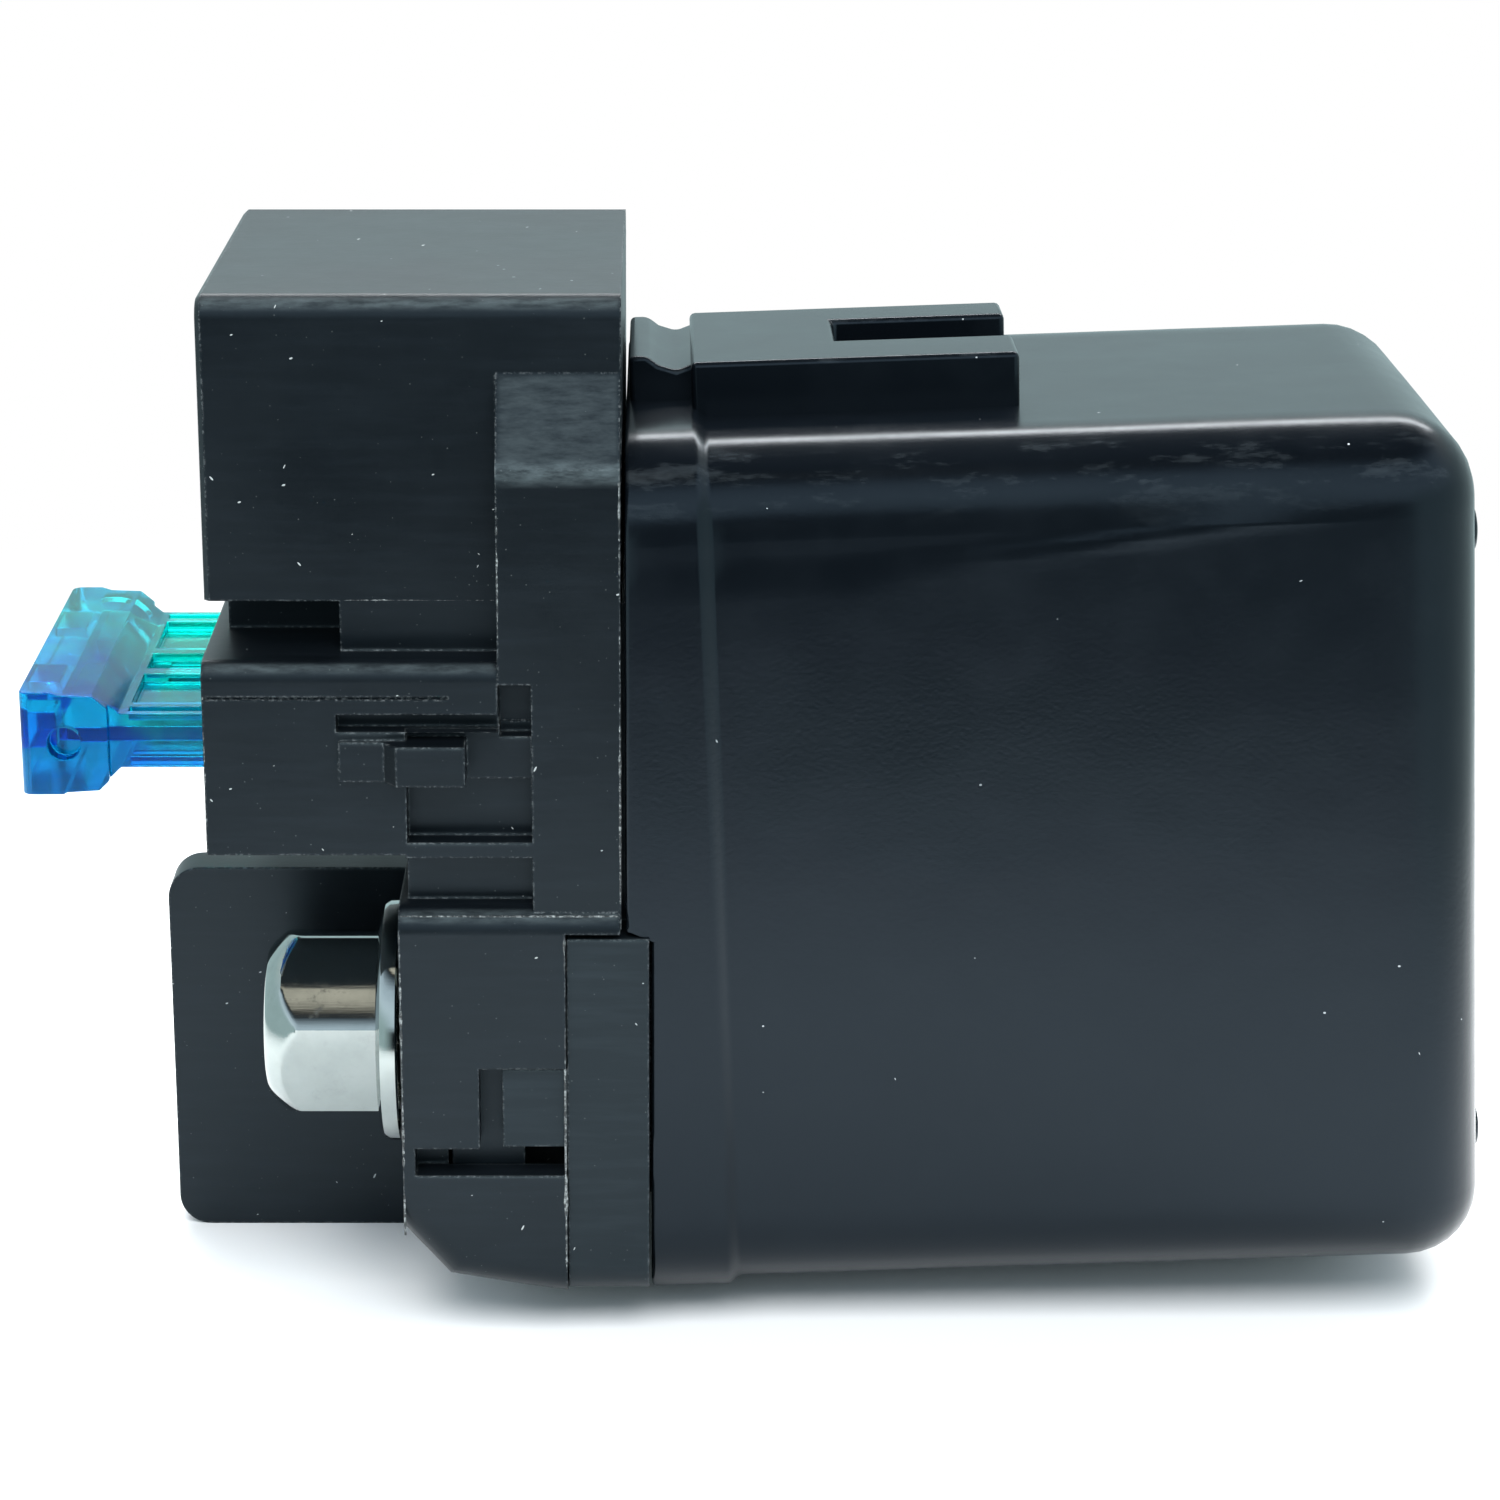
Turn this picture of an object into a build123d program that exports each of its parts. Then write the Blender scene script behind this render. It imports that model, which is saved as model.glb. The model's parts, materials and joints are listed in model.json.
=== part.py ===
from build123d import *
import os

# Sealed starter relay with a plug-in blade fuse: millimetres, +Z up.
# Origin: middle of the bounding box in plan, at its lowest edge.
# +X points to the closed end of the rubber boot, -Y to the hooked side.

# ---- shared levels -------------------------------------------------------
head_left = -25.1        # left face of connector block and fuse holder
head_right = -5.65       # right face of the head
block_half = 12.0        # half depth of the connector block
holder_half = 14.3       # half depth of the fuse holder and the strap
base_half = 14.8         # half depth of the terminal base
core_half = 12.6         # half depth of the middle of the head
cap_left = -8.3          # plane where the cap meets the head
block_top = 50.7
block_bottom = 36.4
neck_left = -18.8
web_half = 8.0           # half depth of the web left of the neck
barrier_top = 19.5
holder_top = 34.0
holder_bottom = 24.7
base_top = 22.06
base_bottom = 2.05
base_left = -16.2
strip_right = -4.4
strip_top = 20.6

# ---- terminals -----------------------------------------------------------
bolt_y = 8.0
bolt_z = 14.0
bolt_across_flats = 8.7
bolt_corner_angle = 44.5
shank_radius = 2.5
thread_clearance = 0.05
terminal_outer = -15.7   # outer face of the terminal plates
terminal_thickness = 1.5
washer_thickness = 0.75
flange_thickness = 1.1
hex_length = 5.5
flange_radius = 5.9

# ---- fuse ----------------------------------------------------------------
fuse_left = -34.4
fuse_z = 28.65
fuse_half_width = 9.55
fuse_head_thickness = 5.1
fuse_head_length = 3.8
fuse_body_thickness = 2.7
fuse_body_right = -22.2
blade_thickness = 0.65
blade_width = 5.2
blade_y = 4.7
blade_tip = -15.9

# ---- solenoid ------------------------------------------------------------
axis_z = 22.0
rod_radius = 1.5
bore_clearance = 0.05
chamber_left = -4.1      # right face of the cap's middle plate
yoke_left = 7.4
plate_thickness = 1.6
coil_left = 9.1
coil_length = 20.3
core_right = 16.0
core_radius = 4.5
plunger_left = 18.6
plunger_length = 13.2
can_mouth = -3.1
can_end = 33.2
can_half = 12.0
can_bottom = 5.35
can_top = 41.35
can_wall = 1.0
bridge_left = 0.75
bridge_thickness = 1.2
contact_face = -1.1      # right face of the fixed contacts

# ---- rubber boot, which sits 2 degrees off square and leans at both ends --
boot_tilt = 2.0
boot_depth = 28.0
boot_height = 42.25
boot_foot_length = 40.54  # length along the bottom
boot_top_length = 39.36   # length along the top
boot_edge = 4.0
rim_foot_length = 3.72
rim_top_length = 3.43
rim_proud = 0.4

# shift along X that puts the origin under the middle of the bounding box
datum = Location((-0.993, 0, 0))


def bar(x0, x1, y0, y1, z0, z1, mode=Mode.ADD):
    """Rectangular bar between two corners, in the open part."""
    with Locations(((x0 + x1) / 2, (y0 + y1) / 2, (z0 + z1) / 2)):
        return Box(x1 - x0, y1 - y0, z1 - z0, mode=mode)


def twin_bar(x0, x1, y0, y1, z0, z1, mode=Mode.ADD):
    """The same bar on both sides of the middle plane."""
    bar(x0, x1, y0, y1, z0, z1, mode)
    bar(x0, x1, -y1, -y0, z0, z1, mode)


def disc(x0, x1, y, z, radius, mode=Mode.ADD):
    """Round disc along X between x0 and x1."""
    with Locations(Location(((x0 + x1) / 2, y, z), (0, 90, 0))):
        return Cylinder(radius, x1 - x0, mode=mode)


def yz_plane(x):
    """Sketch plane square to X: sketch x is Y, sketch y is Z."""
    return Plane(origin=(x, 0, 0), x_dir=(0, 1, 0), z_dir=(1, 0, 0))


os.makedirs("parts", exist_ok=True)

# ---- fuse holder with rolled upper edges ---------------------------------
with BuildPart() as holder:
    bar(head_left, -15.7, -holder_half, holder_half, holder_bottom, holder_top)
    bar(-15.8, -11.4, -holder_half, holder_half, 30.7, holder_top)
    fillet(holder.faces().sort_by(Axis.Z)[-1].edges().filter_by(Axis.X), 0.9)

# ---- terminal base with rounded lower edges and a rolled ledge -----------
with BuildPart() as base:
    with BuildSketch(Plane.XZ):
        with BuildLine():
            Polyline((base_left, base_top), (base_left, 5.4), (-14.1, 3.0), (-10.7, 2.4),
                     (cap_left - 0.05, base_bottom), (cap_left - 0.05, base_top), close=True)
        make_face()
    extrude(amount=base_half, both=True)
    low_edges = base.edges().filter_by(GeomType.LINE).filter_by(
        lambda e: e.center().Z < 6 and abs(e.center().Y) > 14.7)
    fillet(low_edges, 1.6)
    bar(cap_left - 0.1, -5.76, -base_half, base_half, 20.9, base_top)
    fillet(base.faces().sort_by(Axis.Z)[-1].edges().filter_by(Axis.X), 1.2)
    bar(cap_left - 0.05, 0, -core_half, core_half, 20, base_top + 1, Mode.SUBTRACT)

# ---- head cover: connector block, neck and fuse holder -------------------
with BuildPart() as head_cover:
    bar(head_left, head_right, -block_half, block_half, block_bottom, block_top)
    top_edges = head_cover.faces().sort_by(Axis.Z)[-1].edges()
    fillet(top_edges.filter_by(Axis.X), 1.1)
    chamfer(head_cover.edges().filter_by(Axis.Z).group_by(Axis.X)[0], 0.25)
    bar(neck_left, cap_left, -block_half, block_half, holder_top - 0.1, block_bottom + 0.1)
    bar(-15.8, cap_left, -core_half, core_half, base_top - 0.1, holder_top)
    bar(-24.4, neck_left + 0.1, -web_half, web_half, holder_top - 0.1, block_bottom + 0.1)
    add(holder.part)
    bar(-15.8, -9.85, -13.6, 13.6, 28.26, 30.8)
    bar(-15.8, -9.85, -13.1, 13.1, 25.2, 28.3)
    bar(-15.8, -9.85, -holder_half, holder_half, 24.56, 25.3)

    # strap down each side with its sloping top
    with BuildSketch(yz_plane(-11.4)):
        with BuildLine():
            Polyline((-11.9, 47.2), (-12, 47.2), (-holder_half, 43.2), (-holder_half, 33.0),
                     (-11.9, 33.0), close=True)
        make_face()
        fillet(vertices().sort_by_distance((-11.4, -holder_half, 43.2))[0], 1.6)
        mirror(about=Plane.YZ)
    extrude(amount=5.7)
    for side in (-1, 1):
        y_in = side * (core_half - 0.1)
        y_out = side * holder_half
        bar(-9.85, -5.7, min(y_in, y_out), max(y_in, y_out), 21.0, 33.1)

    add(base.part)
    twin_bar(-15.8, -5.9, core_half - 0.1, 12.9, 21.0, 24.6)

    # barrier between the two terminals
    with BuildSketch(Plane.XZ):
        with BuildLine():
            Polyline((-28.7, 0), (-16.6, 0), (-15.0, 4.2), (-15.0, barrier_top), (-28.7, barrier_top),
                     close=True)
        make_face()
        fillet(vertices().group_by(Axis.X)[0], 1.6)
    extrude(amount=1.2, both=True)

    # grooves, pockets and the parting line on each side of the holder
    twin_bar(-18.9, -11.3, 13.3, 15, 30.72, 31.57, Mode.SUBTRACT)
    twin_bar(-11.35, -9.85, 12.7, 13.7, 30.3, 33.1, Mode.SUBTRACT)
    twin_bar(-25.2, -13.7, 14.18, 15, 32.30, 32.42, Mode.SUBTRACT)

    # latch hook on each side, thin root then a thicker nose
    for hook_face in (Plane.XY.offset(28.4),):
        with BuildSketch(hook_face):
            with BuildLine():
                Polyline((-18.8, -13.2), (-18.8, -14.6), (-16.7, -14.6), (-16.1, -15.4),
                         (-12.9, -15.4), (-12.9, -13.2), close=True)
            make_face()
            mirror(about=Plane.XZ)
        extrude(amount=1.92)

    # socket for the loom plug, open to the left
    bar(head_left - 1, -10.0, -10.2, 10.2, 38.0, 48.7, Mode.SUBTRACT)
    twin_bar(head_left - 1, -22.0, 2.2, 4.4, 48.6, 49.3, Mode.SUBTRACT)

    # fuse cavity and clip cavity
    bar(head_left - 1, -21.9, -9.85, 9.85, 26.95, 30.35, Mode.SUBTRACT)
    bar(-22.0, -12.9, -8.6, 8.6, 26.7, 30.6, Mode.SUBTRACT)

    # hollow of the base, snap windows and terminal recesses
    bar(-14.1, cap_left + 0.1, -13.3, 13.3, 7.4, 20.0, Mode.SUBTRACT)
    twin_bar(-12.5, cap_left + 0.1, 13.2, 15, 9.9, 14.1, Mode.SUBTRACT)
    twin_bar(-15.6, cap_left + 0.1, 13.2, 15, 8.6, 10.0, Mode.SUBTRACT)
    twin_bar(base_left - 0.1, -14.0, 3.4, 12.6, 9.4, 18.6, Mode.SUBTRACT)

    # passages for the pins, the coil leads and the bus strip
    for y, half_width in ((-7.6, 1.3), (7.6, 1.3), (-2.7, 2.0), (2.7, 2.0)):
        bar(-10.1, -7.0, y - half_width, y + half_width, 42.7, 43.9, Mode.SUBTRACT)
    twin_bar(-9.9, -8.1, 6.7, 8.5, 34.2, 43.8, Mode.SUBTRACT)
    bar(-14.0, -13.0, 2.6, 7.0, 19.9, 30.5, Mode.SUBTRACT)
    bar(-9.6, -8.4, -4.7, -0.9, 28.0, 43.8, Mode.SUBTRACT)
    bar(-13.0, -8.4, -4.7, -0.9, 28.0, 29.2, Mode.SUBTRACT)
head_cover.part.move(datum)
head_cover.part.label = "head_cover"
export_step(head_cover.part, "parts/head_cover.step")

# ---- relay cap: side strips, snap tongues, plate and contact chamber -----
with BuildPart() as relay_cap:
    bar(cap_left, strip_right, -14.6, 14.6, base_bottom, strip_top)
    fillet(relay_cap.edges().filter_by(Axis.X).group_by(Axis.Z)[0], 1.8)
    bar(cap_left, -5.75, -11.8, 11.8, strip_top - 0.1, 36.3)
    bar(-5.85, -5.3, -11.9, 11.9, 5.5, 36.3)
    with BuildSketch(yz_plane(-5.4)):
        with Locations((0, (can_bottom + can_top) / 2)):
            RectangleRounded(23.8, 35.8, 3.0)
    extrude(amount=chamber_left + 5.4)

    # thin-walled collar that stands in the mouth of the can
    with BuildSketch(yz_plane(chamber_left - 0.1)):
        with Locations((0, (can_bottom + can_top) / 2)):
            RectangleRounded(21.6, 33.6, 2.4)
    extrude(amount=7.2 - chamber_left)
    with BuildSketch(yz_plane(chamber_left)):
        with Locations((0, (can_bottom + can_top) / 2)):
            RectangleRounded(19.6, 31.6, 1.6)
    extrude(amount=12, mode=Mode.SUBTRACT)

    # snap tongues that catch in the windows of the head
    twin_bar(-11.4, cap_left + 0.1, 13.5, 14.5, 10.0, 14.0)
    twin_bar(-9.4, cap_left + 0.1, 12.4, 13.1, 10.4, 13.6)

    # ways through for the terminals and the coil leads
    twin_bar(cap_left - 1, chamber_left + 0.1, 4.0, 9.8, 16.9, 18.6, Mode.SUBTRACT)
    twin_bar(cap_left - 1, chamber_left + 0.1, 6.7, 8.5, 34.3, 36.1, Mode.SUBTRACT)
    disc(cap_left - 1, -7.2, -bolt_y, bolt_z, 3.0, Mode.SUBTRACT)
    disc(cap_left - 1, -7.2, bolt_y, bolt_z, 3.0, Mode.SUBTRACT)
relay_cap.part.move(datum)
relay_cap.part.label = "relay_cap"
export_step(relay_cap.part, "parts/relay_cap.step")

# ---- rubber boot with rim, mounting loop and nubs ------------------------
boot_foot = Location((-4.17, 0, 1.45), (0, -boot_tilt, 0))
boot_mouth = Plane(boot_foot)
boot_start = Plane((boot_foot * Location((-2.6, 0, 0))).position, x_dir=(0, 1, 0),
                   z_dir=boot_mouth.x_dir)
boot_profile = Plane(boot_mouth.origin, x_dir=boot_mouth.x_dir, z_dir=(0, -1, 0))


def boot_shell(proud):
    """Rounded outline of the boot, standing proud by the given amount."""
    with Locations((0, boot_height / 2)):
        RectangleRounded(boot_depth + 2 * proud, boot_height + 2 * proud, boot_edge + proud)


def boot_end_x(z):
    """Place of the closed end along the boot, at a height above its foot."""
    return boot_foot_length + (boot_top_length - boot_foot_length) * z / boot_height


with BuildPart() as boot_rim:
    with BuildSketch(boot_start):
        boot_shell(rim_proud)
    extrude(amount=8)
    with BuildSketch(boot_profile):
        with BuildLine():
            Polyline((-4, -2), (rim_foot_length, -2), (rim_top_length, boot_height + 2),
                     (-4, boot_height + 2), close=True)
        make_face()
    extrude(amount=20, both=True, mode=Mode.INTERSECT)
    fillet(boot_rim.faces().sort_by(Axis.X)[-1].edges(), 0.25)

with BuildPart() as rubber_boot:
    with BuildSketch(boot_start):
        boot_shell(0)
    extrude(amount=boot_foot_length + 6)
    with BuildSketch(boot_profile):
        with BuildLine():
            Polyline((-4, -2), (boot_end_x(-2), -2), (boot_end_x(boot_height + 2), boot_height + 2),
                     (-4, boot_height + 2), close=True)
        make_face()
    extrude(amount=20, both=True, mode=Mode.INTERSECT)
    fillet(rubber_boot.faces().sort_by(Axis.X)[-1].edges(), 3.6)
    add(boot_rim.part)

    # mounting loop: solid web, near rail and far rail, on the top
    with BuildSketch(boot_mouth.offset(boot_height - 1.0)):
        with Locations((3.3 + 7.75, 0)):
            Rectangle(15.5, 12.2)
        with Locations((2.0, 0.9)):
            Rectangle(3.4, 9.8)
    extrude(amount=3.6)
    loop_corners = rubber_boot.edges().filter_by(
        lambda e: e.length < 3.0 and e.center().X > 12 and e.center().Z > 44.5)
    fillet(loop_corners, 0.6)
    with BuildSketch(boot_mouth.offset(boot_height)):
        with Locations((10.3 + 5, 0.5)):
            Rectangle(10, 4.8)
    extrude(amount=6, mode=Mode.SUBTRACT)

    # dip in the neck between the loop and the head
    with Locations(boot_foot * Location((2.6, 0, boot_height + 3.3))):
        Cylinder(1.5, 30, rotation=(90, 0, 0), mode=Mode.SUBTRACT)

    # cavity that fits the can squarely
    with BuildSketch(yz_plane(-9)):
        with Locations((0, (can_bottom + can_top) / 2)):
            RectangleRounded(2 * can_half + 0.2, can_top - can_bottom + 0.2, 3.1)
    extrude(amount=can_end + 9.1, mode=Mode.SUBTRACT)
    twin_bar(-9, strip_right + 0.1, 10, 16, 0, strip_top + 0.3, Mode.SUBTRACT)
    bar(-9, strip_right + 0.1, -16, 16, 0, 6, Mode.SUBTRACT)
    bar(-9, head_right + 0.15, -16, 16, 0, 52, Mode.SUBTRACT)

    # two small nubs on the closed end
    for z in (36.3, 6.0):
        with Locations(boot_foot * Location((boot_end_x(z) - 0.15, -9.0, z), (0, 90, 0))):
            Cone(1.15, 0.85, 1.0)
rubber_boot.part.move(datum)
rubber_boot.part.label = "rubber_boot"
export_step(rubber_boot.part, "parts/rubber_boot.step")

# ---- steel can and its gasket --------------------------------------------
with BuildPart() as steel_can:
    with BuildSketch(yz_plane(can_mouth)):
        with Locations((0, (can_bottom + can_top) / 2)):
            RectangleRounded(2 * can_half, can_top - can_bottom, 3.0)
    extrude(amount=can_end - can_mouth)
    fillet(steel_can.faces().sort_by(Axis.X)[-1].edges(), 1.2)
    offset(amount=-can_wall, openings=steel_can.faces().sort_by(Axis.X)[0])
steel_can.part.move(datum)
steel_can.part.label = "steel_can"
export_step(steel_can.part, "parts/steel_can.step")

with BuildPart() as cap_gasket:
    with BuildSketch(yz_plane(chamber_left + 0.02)):
        with Locations((0, (can_bottom + can_top) / 2)):
            RectangleRounded(23.8, 35.8, 2.9)
            RectangleRounded(21.7, 33.7, 2.45, mode=Mode.SUBTRACT)
    extrude(amount=can_mouth - chamber_left - 0.04)
cap_gasket.part.move(datum)
cap_gasket.part.label = "cap_gasket"
export_step(cap_gasket.part, "parts/cap_gasket.step")

# ---- terminals, contacts, washers and bolts, one set per side ------------
washer_left = terminal_outer - washer_thickness
flange_left = washer_left - flange_thickness
hex_left = flange_left - hex_length

for side_name, side in (("front", -1), ("rear", 1)):
    plate_right = terminal_outer + terminal_thickness
    with BuildPart() as terminal:
        bar(terminal_outer, plate_right, side * bolt_y - 4.5, side * bolt_y + 4.5, 9.5, 18.5)
        disc(plate_right - 0.1, -9.7, side * bolt_y, bolt_z, 3.9)
        y_low = min(side * 4.2, side * 9.6)
        bar(plate_right - 0.1, -1.7, y_low, y_low + 5.4, 17.1, 18.4)
        bar(-3.0, -1.7, y_low, y_low + 5.4, 17.1, 25.6)
        disc(terminal_outer - 1, -8, side * bolt_y, bolt_z, shank_radius + thread_clearance,
             Mode.SUBTRACT)
    terminal.part.move(datum)
    terminal.part.label = side_name + "_terminal"
    export_step(terminal.part, "parts/" + side_name + "_terminal.step")

    with BuildPart() as contact:
        disc(-1.69, contact_face, side * 6.9, axis_z, 2.3)
        fillet(contact.faces().sort_by(Axis.X)[-1].edges(), 0.2)
    contact.part.move(datum)
    contact.part.label = side_name + "_contact"
    export_step(contact.part, "parts/" + side_name + "_contact.step")

    with BuildPart() as washer:
        disc(washer_left, terminal_outer - 0.01, side * bolt_y, bolt_z, 4.4)
        chamfer(washer.edges().filter_by(GeomType.CIRCLE), 0.1)
        disc(washer_left - 1, terminal_outer + 1, side * bolt_y, bolt_z, 2.65, Mode.SUBTRACT)
    washer.part.move(datum)
    washer.part.label = side_name + "_washer"
    export_step(washer.part, "parts/" + side_name + "_washer.step")

    with BuildPart() as bolt:
        with BuildSketch(yz_plane(hex_left)):
            with Locations((side * bolt_y, bolt_z)):
                RegularPolygon(bolt_across_flats / 2, 6, major_radius=False,
                               rotation=bolt_corner_angle)
        extrude(amount=hex_length + 0.1)
        bolt_axis = Axis((hex_left, side * bolt_y, bolt_z), (1, 0, 0))
        with BuildSketch(Plane(origin=bolt_axis.position, x_dir=(1, 0, 0), z_dir=(0, -1, 0))):
            with BuildLine():
                Polyline((0, 0), (0, 3.6), (1.35, 4.95), (10, 4.95), (10, 0), close=True)
            make_face()
            fillet(vertices().group_by(Axis.X)[1], 1.4)
        revolve(axis=bolt_axis, mode=Mode.INTERSECT)
        disc(flange_left, washer_left - 0.01, side * bolt_y, bolt_z, flange_radius)
        fillet(bolt.edges().filter_by(GeomType.CIRCLE).filter_by(
            lambda e: e.radius > flange_radius - 0.1).sort_by(Axis.X)[0], 0.5)
        disc(washer_left - 0.1, -9.2, side * bolt_y, bolt_z, shank_radius)
        chamfer(bolt.faces().sort_by(Axis.X)[-1].edges(), 0.5)
        disc(hex_left - 1, hex_left + 0.5, side * bolt_y, bolt_z, 1.9, Mode.SUBTRACT)
    bolt.part.move(datum)
    bolt.part.label = side_name + "_bolt"
    export_step(bolt.part, "parts/" + side_name + "_bolt.step")

# ---- blade fuse ----------------------------------------------------------
with BuildPart() as fuse_body:
    head_right_face = fuse_left + fuse_head_length
    half = fuse_head_thickness / 2
    body_half = fuse_body_thickness / 2
    with BuildSketch(Plane.XZ):
        with BuildLine():
            Polyline((fuse_left, fuse_z - half), (fuse_left, fuse_z + half),
                     (fuse_left + 1.5, fuse_z + half), (fuse_left + 2.0, fuse_z + half - 0.15),
                     (fuse_left + 3.5, fuse_z + half - 0.2), (fuse_left + 4.7, fuse_z + body_half),
                     (fuse_body_right, fuse_z + body_half), (fuse_body_right, fuse_z - body_half),
                     (fuse_left + 4.7, fuse_z - body_half), (fuse_left + 3.7, fuse_z - half + 0.2),
                     (fuse_left + 2.1, fuse_z - half + 0.1), (fuse_left + 2.0, fuse_z - half),
                     close=True)
        make_face()
    extrude(amount=fuse_half_width, both=True)
    shoulder = fuse_left + 4.2
    twin_bar(shoulder, fuse_body_right + 1, 9.0, 10, fuse_z - 3, fuse_z + 3, Mode.SUBTRACT)
    vertical = fuse_body.edges().filter_by(Axis.Z).group_by(Axis.X)[0]
    fillet(vertical, 0.5)

    # windows over the blades and ribs between them, on both faces
    for z0, z1 in ((fuse_z + body_half - 0.45, fuse_z + 3), (fuse_z - 3, fuse_z - body_half + 0.45)):
        twin_bar(fuse_left + 5.1, fuse_body_right - 0.7, 2.3, 7.1, z0, z1, Mode.SUBTRACT)
        bar(fuse_left + 5.1, fuse_body_right - 0.7, -1.3, 1.3, z0, z1, Mode.SUBTRACT)
        twin_bar(fuse_left + 5.1, fuse_body_right - 0.7, 7.8, 8.5, z0, z1, Mode.SUBTRACT)
    # test holes in the end face, over each blade
    twin_bar(fuse_left - 1, fuse_left + 1.4, 3.2, 6.2, fuse_z - 0.9, fuse_z + 0.9, Mode.SUBTRACT)
    # eye-shaped pocket in each end of the head
    for y in (-fuse_half_width, fuse_half_width):
        with Locations(Location((fuse_left + 2.1, y, fuse_z), (90, 0, 0))):
            Cylinder(0.8, 1.6, mode=Mode.SUBTRACT)
    # slots that hold the blades and the link
    twin_bar(fuse_left + 1.6, fuse_body_right + 1, blade_y - 2.65, blade_y + 2.65,
             fuse_z - 0.38, fuse_z + 0.38, Mode.SUBTRACT)
    bar(fuse_left + 1.6, fuse_left + 6.0, -2.2, 2.2, fuse_z - 0.38, fuse_z + 0.38, Mode.SUBTRACT)
fuse_body.part.move(datum)
fuse_body.part.label = "fuse_body"
export_step(fuse_body.part, "parts/fuse_body.step")

with BuildPart() as fuse_blades:
    for y in (-blade_y, blade_y):
        bar(fuse_left + 2.0, blade_tip, y - blade_width / 2, y + blade_width / 2,
            fuse_z - blade_thickness / 2, fuse_z + blade_thickness / 2)
    tips = fuse_blades.edges().filter_by(Axis.Z).group_by(Axis.X)[-1]
    chamfer(tips, 0.9)
    with BuildSketch(Plane.XY.offset(fuse_z - 0.15)):
        with BuildLine():
            ThreePointArc((fuse_left + 4.6, -2.3), (fuse_left + 2.8, 0), (fuse_left + 4.6, 2.3))
            Line((fuse_left + 4.6, 2.3), (fuse_left + 5.5, 2.3))
            ThreePointArc((fuse_left + 5.5, 2.3), (fuse_left + 3.7, 0), (fuse_left + 5.5, -2.3))
            Line((fuse_left + 5.5, -2.3), (fuse_left + 4.6, -2.3))
        make_face()
    extrude(amount=0.3)
fuse_blades.part.move(datum)
fuse_blades.part.label = "fuse_blades"
export_step(fuse_blades.part, "parts/fuse_blades.step")

# ---- fuse clips and bus strip --------------------------------------------
clip_gap = blade_thickness / 2 + 0.03
for side_name, y in (("front", -blade_y), ("rear", blade_y)):
    with BuildPart() as clip:
        for z0 in (fuse_z + clip_gap, fuse_z - clip_gap - 0.5):
            bar(-21.0, -13.6, y - 2.2, y + 2.2, z0, z0 + 0.5)
        bar(-13.9 if y < 0 else -14.4, -13.4 if y < 0 else -14.05, y - 2.2, y + 2.2,
            fuse_z - clip_gap - 0.5, fuse_z + clip_gap + 0.5)
        if y > 0:
            bar(-14.04, -13, y - 3, y + 3, fuse_z - 3, fuse_z + 3, Mode.SUBTRACT)
        else:
            bar(-13.5, -8.7, -4.4, -1.2, 28.3, 28.9)
            bar(-9.3, -8.7, -4.4, -1.2, 28.3, 42.8)
    clip.part.move(datum)
    clip.part.label = side_name + "_fuse_clip"
    export_step(clip.part, "parts/" + side_name + "_fuse_clip.step")

with BuildPart() as bus_strip:
    bar(-13.95, -13.25, 3.0, 6.8, 18.45, 30.2)
bus_strip.part.move(datum)
bus_strip.part.label = "bus_strip"
export_step(bus_strip.part, "parts/bus_strip.step")

# ---- connector pins ------------------------------------------------------
for name, pin_y, pin_half in (("power_pins", 2.7, 1.6), ("coil_pins", 7.6, 1.0)):
    with BuildPart() as pins:
        for y in (-pin_y, pin_y):
            bar(-20.6, -7.4, y - pin_half, y + pin_half, 42.9, 43.7)
        tips = pins.edges().filter_by(Axis.Y).group_by(Axis.X)[0]
        chamfer(tips, 0.25)
    pins.part.move(datum)
    pins.part.label = name
    export_step(pins.part, "parts/" + name + ".step")

# ---- coil leads and suppression diode ------------------------------------
for side_name, y in (("front", -7.6), ("rear", 7.6)):
    with BuildPart() as lead:
        with BuildLine() as lead_path:
            Polyline((-9.0, y, 42.85), (-9.0, y, 35.2), (9.7, y, 35.2), (9.7, y, 29.7))
            fillet(lead_path.vertices().group_by(Axis.Z)[1], 0.6)
        with BuildSketch(Plane(origin=(-9.0, y, 42.85), z_dir=(0, 0, -1))):
            Circle(0.5)
        sweep()
    lead.part.move(datum)
    lead.part.label = side_name + "_coil_lead"
    export_step(lead.part, "parts/" + side_name + "_coil_lead.step")

with BuildPart() as suppression_diode:
    with Locations(Location((2.0, 0, 37.2), (90, 0, 0))):
        Cylinder(1.35, 5.2)
        chamfer(suppression_diode.edges().filter_by(GeomType.CIRCLE), 0.25)
        Cylinder(0.35, 15.8)
    for y in (-7.6, 7.6):
        bar(1.7, 2.3, y - 0.3, y + 0.3, 35.75, 37.2)
suppression_diode.part.move(datum)
suppression_diode.part.label = "suppression_diode"
export_step(suppression_diode.part, "parts/suppression_diode.step")

# ---- steel round the coil ------------------------------------------------
with BuildPart() as yoke_plate:
    with BuildSketch(yz_plane(yoke_left)):
        with Locations((0, 21.9)):
            RectangleRounded(21.4, 31.0, 2.0)
        with Locations((0, axis_z)):
            Circle(rod_radius + 0.25, mode=Mode.SUBTRACT)
        with Locations((-7.6, 36.0), (7.6, 36.0)):
            Rectangle(2.0, 3.4, mode=Mode.SUBTRACT)
    extrude(amount=plate_thickness)
yoke_plate.part.move(datum)
yoke_plate.part.label = "yoke_plate"
export_step(yoke_plate.part, "parts/yoke_plate.step")

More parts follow.
